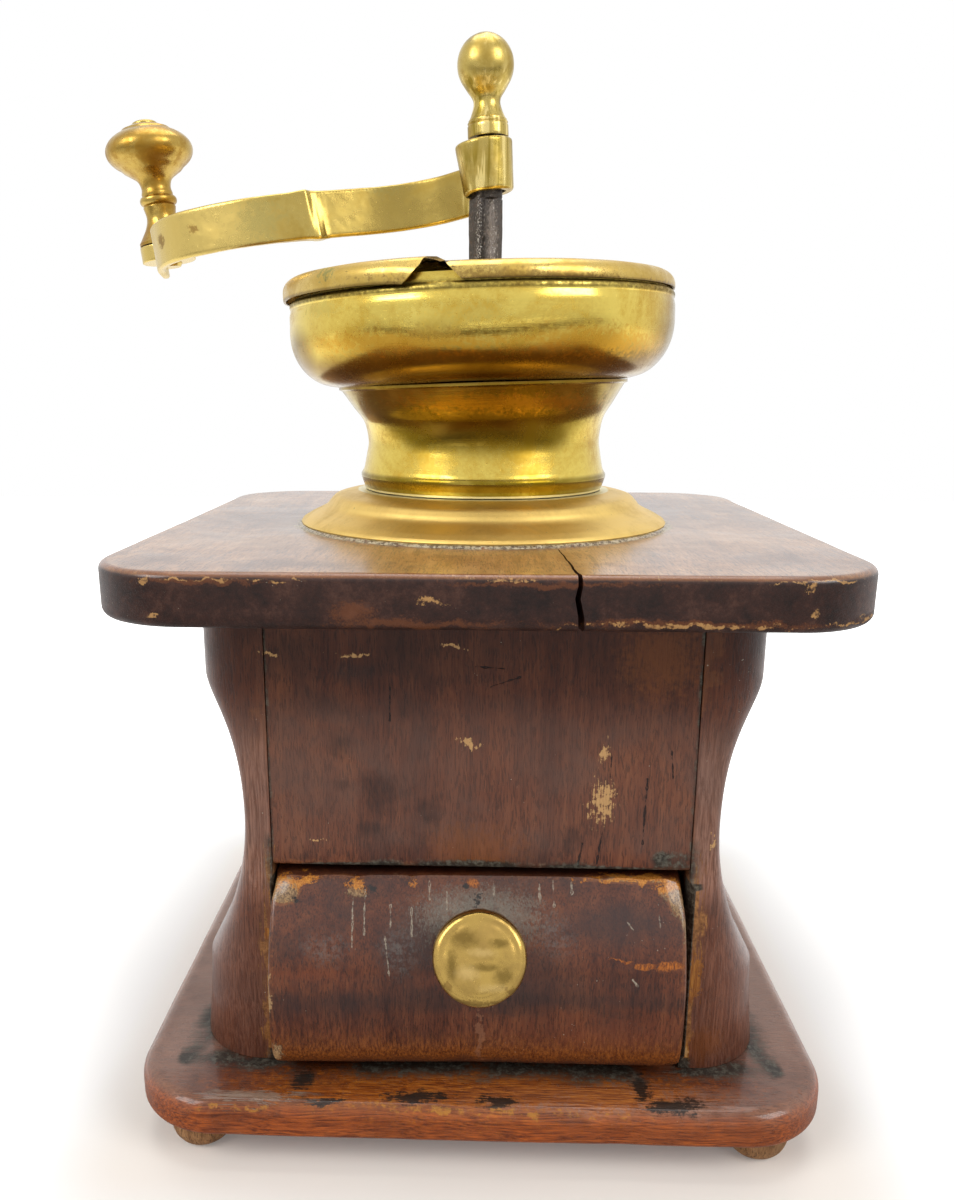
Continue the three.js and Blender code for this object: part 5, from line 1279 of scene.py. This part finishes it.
def lidHalf(name, nodeName, body, side, radius, high, lip, eye):
    # A half disc with a rolled-down lip, its lip cut back at both ends; an eye goes round the spindle
    wall, fold, hole, eyeEdge = lid["wall"], lid["fold"], lid["hole"], lid["eye"]
    upper = [[r, high] for r in (hole, 9, eyeEdge, 18, 26, 34, 42, radius - fold - 1.2)]
    profile = [*upper, *arc(radius - fold, high - fold, fold, fold, 90, 0, 12),
               [radius, high - lip * 0.9], [radius - 0.1, high - lip],
               [radius - wall + 0.1, high - lip], [radius - wall, high - lip * 0.9],
               *arc(radius - fold, high - fold, fold - wall, fold - wall, 0, 90, 10),
               *([r, high - wall] for r, z in upper[::-1])]
    steps = 110
    rings = []
    for k in range(steps + 1):
        ring = []
        for r, z in profile:
            run = lid["gap"] + high - z if r > radius - fold - 1 else 0.06
            start = math.asin(min(run / r, 1))
            a = start + (math.pi - 2 * start) * k / steps - math.pi / 2
            ring.append([side * r * math.cos(a), r * math.sin(a), z])
        rings.append(ring)
    points, faces = loft(rings)
    if eye:
        count = len(points)
        flat = [(r, z) for z, way in ((high, 1), (high - wall, -1)) for r in (hole, 9, eyeEdge)[::way]]
        more, extra = loft([[[-side * r * math.cos(a), r * math.sin(a), z] for r, z in flat]
                            for a in np.linspace(-math.pi / 2, math.pi / 2, 33)])
        points = np.vstack([points, more])
        faces += [tuple(i + count for i in face) for face in extra]
    turn = math.radians(lid["split"])
    points = np.c_[points[:, 0] * math.cos(turn) - points[:, 1] * math.sin(turn),
                   points[:, 0] * math.sin(turn) + points[:, 1] * math.cos(turn), points[:, 2]]
    mesh = newMesh(name, leanPoints(points, True), faces)
    attribute(mesh, "rise", points[:, 2])
    rightWayOut(mesh)
    waver(mesh, 0.08, 20, 90)
    if eye:
        points = pointsOf(mesh)
        beyond = 0.1 + 0.8 * smoothStep(np.hypot(points[:, 0], points[:, 1]), 54.6, 55.4)
        points[:, 2] -= beyond * np.exp(-((points[:, 0] + 13) ** 2 + (points[:, 1] + 52) ** 2) / 9 ** 2)
        setPoints(mesh, points)
    finish(name, mesh, body, [nodeName], lidFinish)


lidHalf("lidFixedHalf", "lid_fixed_half", "mill", 1, lid["fixed"], lid["fixedTop"], lid["lip"], False)
lidHalf("lidSwingHalf", "lid_swing_half", "lid", -1, lid["swing"], lid["swingTop"], lid["swingLip"], True)
print("hopper made")

# Spindle, crank, knob and nut
spindle = {"flats": 9.2, "turn": 24, "faceTurn": 1, "tangFlats": 7.6, "tangCorners": 9.4, "stud": 2.4,
           "lower": [(1.5, 88.5), (3, 89.7), (3, 93.4)], "square": (6.6, 8.2, (93.6, 128.9)),
           "journal": [(5.2, 128.95), (5.2, 131.1), (4, 131.2), (4, 162.2)]}


def barRing(flats, corners, z, count=64, turn=spindle["turn"]):
    a = np.linspace(0, 2 * math.pi, count, endpoint=False)
    flat = np.maximum(abs(np.cos(a)), abs(np.sin(a)))
    corner = np.maximum(abs(np.cos(a - math.pi / 4)), abs(np.sin(a - math.pi / 4)))
    r = np.minimum(flats / 2 / flat, corners / 2 / corner)
    b = a + math.radians(turn)
    return level(np.c_[r * np.cos(b), r * np.sin(b)], z)


def roundRing(r, z):
    b = np.linspace(0, 2 * math.pi, 64, endpoint=False) + math.radians(spindle["turn"])
    return level(np.c_[r * np.cos(b), r * np.sin(b)], z)


def makeSpindle():
    s = SimpleNamespace(**spindle)
    flats, corners, heights = s.square
    rings = [*(roundRing(*r) for r in s.lower), *(barRing(flats, corners, z) for z in heights),
             *(roundRing(*r) for r in s.journal)]
    rings += [barRing(s.flats, s.flats, z, turn=s.faceTurn) for z in np.linspace(166.2, 232.1, 64)]
    rings += [barRing(s.tangFlats, s.tangCorners, z) for z in (232.9, 240, 246.7)]
    rings += [roundRing(s.stud, 246.75), roundRing(s.stud, 255.1), roundRing(s.stud - 0.6, 255.7)]
    mesh = solid("spindle", loft(rings))
    points, normals = pointsOf(mesh), normalsOf(mesh)
    shown = smoothStep(points[:, 2], 168, 172) * (1 - smoothStep(points[:, 2], 228, 231))
    points = dent(points, normals, [((2.0, -4.6, 224), (1.7, 1.5, 9), 0.75),
                                    ((-0.8, -4.6, 198), (0.7, 1.2, 34), 0.5)])
    setPoints(mesh, points + normals * (0.2 * shown * layeredNoise(points, 4, 3, 101))[:, None])
    finish("spindle", mesh, "crank", ["spindle"], spindleFinish, 25)


makeSpindle()

crank = {
    "hubAt": 240.7, "droop": 7.5, "hubLong": 13.2, "hubTop": 7.9, "hubFoot": 7.0, "strapThick": 2.4,
    "strapHigh": 12.8, "strapTop": 1.9, "knuckleX": -51, "knuckleLean": 0.21, "step": 1.6, "stepLong": 9,
    "stepShort": 1.6, "stepHigh": 0.4, "bossX": -105.6, "bossY": 47.5, "boss": 8.6, "bossLow": -4.9,
    "bossTop": 0.1, "voxel": 0.32, "root": 6.4,
    "bends": [(-15, 12), (-30, 13.2), (-50, 6.4), (-70, 2.4), (-90.1, 8.4), (-101, 21.5), (-105.6, 40.4)]}
droop = Matrix.Rotation(math.radians(-crank["droop"]), 4, "Y")
crankFrame = Matrix.Translation((0, 0, crank["hubAt"] / 1000)) @ droop
gripFrame = crankFrame @ Matrix.Translation(Vector((crank["bossX"], crank["bossY"], 0)) / 1000)


def pathTree():  # a flat bar drawn along a smooth line
    add, start = startTree("strapAlongPath", {"Path": "Geometry", "Thickness": "Float", "Height": "Float",
                                              "Step": "Float"})
    line, smooth, spaced = map(add, ("MeshToCurve", "CurveSplineType", "ResampleCurve"))
    upright, section = add("SetCurveNormal"), add("CurvePrimitiveQuadrilateral")
    rounded, skin = add("FilletCurve"), add("CurveToMesh")
    smooth.spline_type, upright.mode, spaced.mode = "CATMULL_ROM", "Z_UP", "LENGTH"
    skin.inputs["Fill Caps"].default_value = True
    rounded.inputs["Radius"].default_value = 0.0005
    return endTree(add, start, skin, [
        (start["Path"], line.inputs[0]), (line.outputs[0], smooth.inputs["Curve"]),
        (smooth.outputs[0], spaced.inputs["Curve"]), (start["Step"], spaced.inputs["Length"]),
        (spaced.outputs[0], upright.inputs["Curve"]), (upright.outputs[0], skin.inputs["Curve"]),
        (start["Thickness"], section.inputs["Width"]), (start["Height"], section.inputs["Height"]),
        (section.outputs[0], rounded.inputs["Curve"]), (rounded.outputs[0], skin.inputs["Profile Curve"])])


def strapMesh():
    c = SimpleNamespace(**crank)
    root = c.root * math.sqrt(0.5)
    middle = c.strapTop - c.strapHigh / 2
    line = [(x, y, middle) for x, y in through([(-root, root), *c.bends], 70)]
    return shaped("strap", newMesh("strap", line, [], chain(line)), pathTree(),
                  {"Thickness": c.strapThick / 1000, "Height": c.strapHigh / 1000, "Step": 0.0006,
                   "Finish": crankFinish})


def makeCrank():
    c = SimpleNamespace(**crank)
    strap = strapMesh()
    half = c.hubLong / 2
    points = pointsOf(strap)
    path = np.array(through([(-4.53, 4.53), *c.bends], 400))
    nearest = np.argmin(((points[:, None, :2] - path[None]) ** 2).sum(2), axis=1)
    tangent = np.gradient(path, axis=0)
    tangent /= np.linalg.norm(tangent, axis=1)[:, None]
    out = np.c_[-tangent[:, 1], tangent[:, 0]][nearest]
    side = ((points[:, :2] - path[nearest]) * out).sum(1)
    fromMiddle = points[:, 2] - c.strapTop + c.strapHigh / 2
    x = path[nearest, 0] - c.knuckleX + c.knuckleLean * fromMiddle
    lump = c.step * np.where(x < 0, np.exp(-(x / c.stepLong) ** 2), np.exp(-(x / c.stepShort) ** 2))
    points[:, :2] += out * (np.where(side > 0, 1, -0.5) * lump)[:, None]
    points[:, 2] += c.stepHigh * np.sign(fromMiddle) * np.exp(-(x / 2.4) ** 2)
    setPoints(strap, points)
    hub = rodMesh((c.hubFoot - 0.5, c.hubFoot, c.hubTop, c.hubTop - 0.5),
                  (-half, -half + 0.5, half - 0.5, half), sides=96)
    boss = rodMesh((c.boss, c.boss), (c.bossLow, c.bossTop), c.bossX, c.bossY, 96)
    mesh = bpy.data.meshes.new("crank")
    joinInto(mesh, [strap, hub, boss])
    obj = place("crank", mesh)
    cast = obj.modifiers.new("cast", "REMESH")
    cast.mode = "VOXEL"
    cast.voxel_size = c.voxel / 1000
    soften = obj.modifiers.new("soften", "SMOOTH")
    soften.factor, soften.iterations = 0.5, 4
    mesh = evaluated(obj, "crankArm")
    mesh.transform(crankFrame)
    # The hub's square socket and its wider mouth, then the pin's hole and the flat seat on the boss
    cutters = [newMesh(name, *loft([barRing(flats, corners, z, 32) for z in (225, high)]))
               for name, flats, corners, high in [("socket", 8.3, 10.1, 255), ("mouth", 9.9, 11.2, 236.5)]]
    for r, low, sides in [(2.2, -8, 32), (9.0, c.bossTop, 64)]:
        cutters.append(rodMesh((r, r), (low, 4), c.bossX, c.bossY, sides))
        cutters[-1].transform(crankFrame)
    mesh = cutAway(mesh, cutters)
    rightWayOut(mesh)
    waver(mesh, 0.06, 4, 110)
    finish("crankArm", mesh, "crank", ["crank_arm"], crankFinish, 50)


makeCrank()

knob = {"height": 36.2, "cap": 13.8, "capRise": 28.6, "capHalf": 7.2, "collar": 8.4, "stem": 4.7, "bead": 5.9,
        "beadRise": 13.6, "bore": 2.25, "foot": 0.4, "pin": 2, "pinHead": 4}


def makeKnob():
    k = SimpleNamespace(**knob)
    z, cap, bead = k.foot, k.foot + k.capRise, k.foot + k.beadRise
    outline = [[k.bore, z], [k.collar, z], [k.collar, z + 0.9],
               *through([[k.collar - 0.3, z + 1.3], [k.collar - 0.9, z + 2.2], [k.stem + 0.9, z + 5.4],
                         [k.stem, z + 8.4], [k.stem + 0.5, bead - 2]], 20),
               *arc(k.bead - 1.2, bead, 1.2, 1.4, -80, 80, 10),
               *through([[k.stem + 0.3, bead + 2.2], [k.stem, bead + 4], [k.stem + 1, bead + 6.6],
                         [k.stem + 4.4, cap - k.capHalf + 1.2]], 18),
               *arc(0, cap, k.cap, k.capHalf, -42, 54, 26), [k.cap * 0.55, z + k.height - 1.1],
               [k.cap * 0.5, z + k.height - 0.9], [k.pinHead + 1, z + k.height], [k.bore, z + k.height]]
    mesh = turned("knob", densify(outline, 0.7, True), handleFinish, 96)
    mesh.transform(gripFrame)
    waver(mesh, 0.04, 5, 120)
    finish("crankKnob", mesh, "grip", ["crank_knob"], handleFinish)
    low, high = crank["bossLow"] - 0.3, z + k.height + 0.3
    pin, head = k.pin, k.pinHead
    outline = [[0, low - 1.4], [head - 0.6, low - 1.4], [head, low - 0.5], [head, low], [pin, low], [pin, high],
               [head, high], *arc(0, high + 0.2, head, 1.2, 0, 90, 10)]
    mesh = turned("pin", densify(outline, 0.8), crankFinish, 48, False)
    mesh.transform(gripFrame)
    finish("knobPin", mesh, "crank", ["knob_pin"], crankFinish)


makeKnob()

finial = {"height": 26, "ball": 7.7, "ballRise": 18.1, "neck": 3.7, "neckRise": 7.7, "foot": 5.6, "lean": 3,
          "at": (0.5, 0, 248.331), "bore": 3.1, "depth": 10.2}


def makeFinial():
    f = SimpleNamespace(**finial)
    outline = [[0, f.depth], [f.bore, f.depth], [f.bore, 0], [f.foot - 0.1, 0], [f.foot, 0.2], [f.foot, 2.9],
               [f.foot - 0.25, 3.3], [f.foot - 0.05, 3.7], [f.foot - 0.3, 4.1], [f.foot - 0.35, 4.4],
               *through([[f.foot - 0.6, 4.6], [f.neck + 0.6, 6.2], [f.neck, f.neckRise + 0.6],
                         [f.neck + 0.2, f.neckRise + 2.2], [f.neck + 1.4, f.ballRise - 6.4]], 22),
               *arc(0, f.ballRise, f.ball, f.height - f.ballRise, -36, 90, 30)]
    mesh = turned("finial", densify(outline, 0.6), crankFinish, 96, False)
    tilted(mesh, "Y", -f.lean, f.at)
    waver(mesh, 0.05, 4, 130)
    finish("finialNut", mesh, "crank", ["finial_nut"], crankFinish)


makeFinial()
print("crank made")


# Feet and base screws: one of each, set at the corners by one shared tree, each turned its own way
def cornersTree():
    add, start = startTree("oneAtEachCorner", {"Piece": "Geometry", "Across": "Float", "Deep": "Float",
                                               "Turn Seed": "Int"})
    grid, points = add("MeshGrid"), add("InstanceOnPoints")
    turn, axis = add("RandomValue", "FunctionNode"), add("CombineXYZ", "ShaderNode")
    grid.inputs["Vertices X"].default_value = grid.inputs["Vertices Y"].default_value = 2
    turn.data_type = "FLOAT"
    turn.inputs[3].default_value = math.tau
    return endTree(add, start, points, [
        (start["Across"], grid.inputs["Size X"]), (start["Deep"], grid.inputs["Size Y"]),
        (grid.outputs[0], points.inputs["Points"]), (start["Piece"], points.inputs["Instance"]),
        (start["Turn Seed"], turn.inputs["Seed"]), (turn.outputs[1], axis.inputs["Z"]),
        (axis.outputs[0], points.inputs["Rotation"])])


oneAtEachCorner = cornersTree()


def atCorners(name, mesh, across, deep, seed, material):
    return shaped(name, mesh, oneAtEachCorner,
                  {"Across": across / 1000, "Deep": deep / 1000, "Turn Seed": seed, "Finish": material})


cornerNames = ("front_left", "front_right", "back_left", "back_right")
feet = {"height": 10.5, "belly": 8.4, "tip": 3.8, "across": 144.4, "deep": 149.4}


def makeFeet():
    f = SimpleNamespace(**feet)
    middle = f.height / 2.6
    outline = [[0, -f.height], *arc(f.tip, -middle, f.belly - f.tip, f.height - middle, -90, 0, 14),
               [f.belly - 0.2, -1.2], [f.belly - 0.5, -0.3], [4, -0.3], [4, 5], [0, 5]]
    mesh = turned("foot", densify(outline, 1.2), footFinish, 48, False)
    mesh = atCorners("feet", mesh, f.across, f.deep, 3, footFinish)
    waver(mesh, 0.12, 6, 140)
    weather(mesh, 0.4, [], [((0, 0, -10.5), (120, 120, 4), 0.6), ((0, 0, 0), (120, 120, 2.4), 0.7)])
    finish("feet", mesh, "mill", ["foot_" + corner for corner in cornerNames], footFinish)


def makeScrews():
    outline = [[0, 0], [4, 0], [2, 2.4], [2, 25], [0, 28]]
    mesh = turned("screw", densify(outline, 1), steelFinish, 32, False)
    slot = newMesh("slot", *loft([np.array([[-5, -0.5, z], [5, -0.5, z], [5, 0.5, z], [-5, 0.5, z]])
                                  for z in (-1, 1.1)]))
    mesh = cutAway(mesh, [slot])
    mesh = atCorners("baseScrews", mesh, 2 * base["screwX"], 2 * base["screwY"], 8, steelFinish)
    rightWayOut(mesh)
    finish("baseScrews", mesh, "mill", ["case_screw_" + corner for corner in cornerNames],
           steelFinish)


makeFeet()
makeScrews()

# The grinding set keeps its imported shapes
hiddenIron = {**dict.fromkeys(["bearing_bridge", "lower_yoke", "burr_ring", "burr_cone"], castFinish),
              **dict.fromkeys(["clamp_bolt_left", "clamp_bolt_right", "clamp_nut_left", "clamp_nut_right",
                               "cone_nut", "adjusting_screw", "lock_nut"], steelFinish)}
for name, material in hiddenIron.items():
    obj = bpy.data.objects[name]
    if not obj.material_slots:
        obj.data.materials.append(material)
    for slot in obj.material_slots:
        slot.material = material
print("grinding set dressed")


# Floor, light and camera
studio = {
    "floorSize": 3.0, "floorAt": -10.6, "fillLight": 0.42, "frontShade": 0.92, "groundShade": 0.7,
    "dimNear": (60, -150, 0.25, 0.62), "dimFar": (-390, -470, 0, 0.36), "clearFar": (-620, -1100, 0, -0.8),
    "lamps": [("left softbox", (-0.86, -0.72, 0.92), 0.62, 7.5),
              ("right softbox", (0.88, -0.70, 0.86), 0.62, 7.0), ("ceiling", (0.0, 0.25, 1.5), 1.1, 9.5)]}


def rays(*kinds):
    light = node("LightPath")
    return [light.outputs[f"Is {kind} Ray"] for kind in kinds]


def makeFloor():
    half = studio["floorSize"] * 500
    z = studio["floorAt"]
    floor = newMesh("floor", [(-half, -half, z), (half, -half, z), (half, half, z), (-half, half, z)],
                    [(0, 1, 2, 3)])
    material, shader = startFinish("pale floor")
    at = onObject()
    edge = base["width"] / 2 - 4
    beside = vectors("SUBTRACT", vectors("ABSOLUTE", at), (edge, edge, 50.0))
    away = lengthOf(vectors("MAXIMUM", beside, (0.0, 0.0, 0.0)))  # from the base board's outline
    camera, glossy = rays("Camera", "Glossy")
    # The ground towards the viewer is dark in reflections, as an unlit room is
    nearBy, farOff, beyond = (span(part(at, "Y"), *studio[key]) for key in ("dimNear", "dimFar", "clearFar"))
    unlit = times(plus(plus(nearBy, farOff), beyond), glossy)
    seen = minus(most(camera, glossy), unlit, clamp=True)
    # A warm tint close to the base: painted light bounced from the wood into its shadow
    warm = blend(span(away, 30, 4), (0.86, 0.855, 0.84), (0.86, 0.8, 0.73))
    fill(shader, {"Base Color": blend(unlit, warm, (0.1, 0.09, 0.08)), "Roughness": 0.9,
                  "Emission Color": (1, 1, 1), "Emission Strength": times(span(away, 4, 110, 0.1, 1.0), seen)})
    floor.materials.append(material)
    place("floor", floor)


def makeLight():
    world = scene.world or bpy.data.worlds.new("studio")
    scene.world = world
    world.use_nodes = True
    world.node_tree.nodes.clear()
    wiring["tree"] = world.node_tree
    camera, glossy, sheer = rays("Camera", "Glossy", "Transmission")
    seen = most(most(camera, glossy), sheer)
    way = node("TexCoord").outputs["Generated"]
    front = span(part(way, "Z"), -0.06, 0.12, studio["groundShade"], studio["frontShade"])
    backdrop = span(part(way, "Y"), -0.5, 0.0, front, 1.0)  # the room is dimmer on the viewer's side
    backdrop = most(backdrop, camera)
    strength = node("Mix", {0: seen, 2: studio["fillLight"], 3: backdrop}).outputs[0]
    light = node("Background", {"Color": (1.0, 1.0, 1.0), "Strength": strength})
    node("OutputWorld", {0: light.outputs[0]})
    for name, at, size, power in studio["lamps"]:
        lamp = bpy.data.lights.new(name, "AREA")
        lamp.shape, lamp.size, lamp.energy = "SQUARE", size, power
        obj = bpy.data.objects.new(name, lamp)
        obj.location = at
        obj.rotation_euler = (Vector((0, 0, 0.12)) - obj.location).to_track_quat("-Z", "Y").to_euler()
        scene.collection.objects.link(obj)


view = {
    "at": (-1.5, -297.6, 181.06), "pitch": 13.79, "yaw": -1.878, "roll": 0.108, "lens": 29.78,
    "shift": (0.027, 0.02825)}


def makeCamera():
    pitch, yaw, roll = (math.radians(view[k]) for k in ("pitch", "yaw", "roll"))
    ahead = Vector((math.sin(yaw) * math.cos(pitch), math.cos(yaw) * math.cos(pitch), -math.sin(pitch)))
    flatRight = ahead.cross(Vector((0, 0, 1))).normalized()
    flatUp = flatRight.cross(ahead)
    right = flatRight * math.cos(roll) + flatUp * math.sin(roll)
    up = right.cross(ahead)
    data = bpy.data.cameras.new("camera")
    data.sensor_fit, data.sensor_width, data.lens = "AUTO", 36, view["lens"]
    data.shift_x, data.shift_y = view["shift"]
    data.clip_start = 0.01
    camera = bpy.data.objects.new("camera", data)
    turn = Matrix((right, up, -ahead)).transposed().to_4x4()
    camera.matrix_world = Matrix.Translation(Vector(view["at"]) / 1000) @ turn
    scene.collection.objects.link(camera)
    scene.camera = camera


makeFloor()
makeLight()
makeCamera()
scene.view_settings.view_transform = "Standard"
print("stage set")
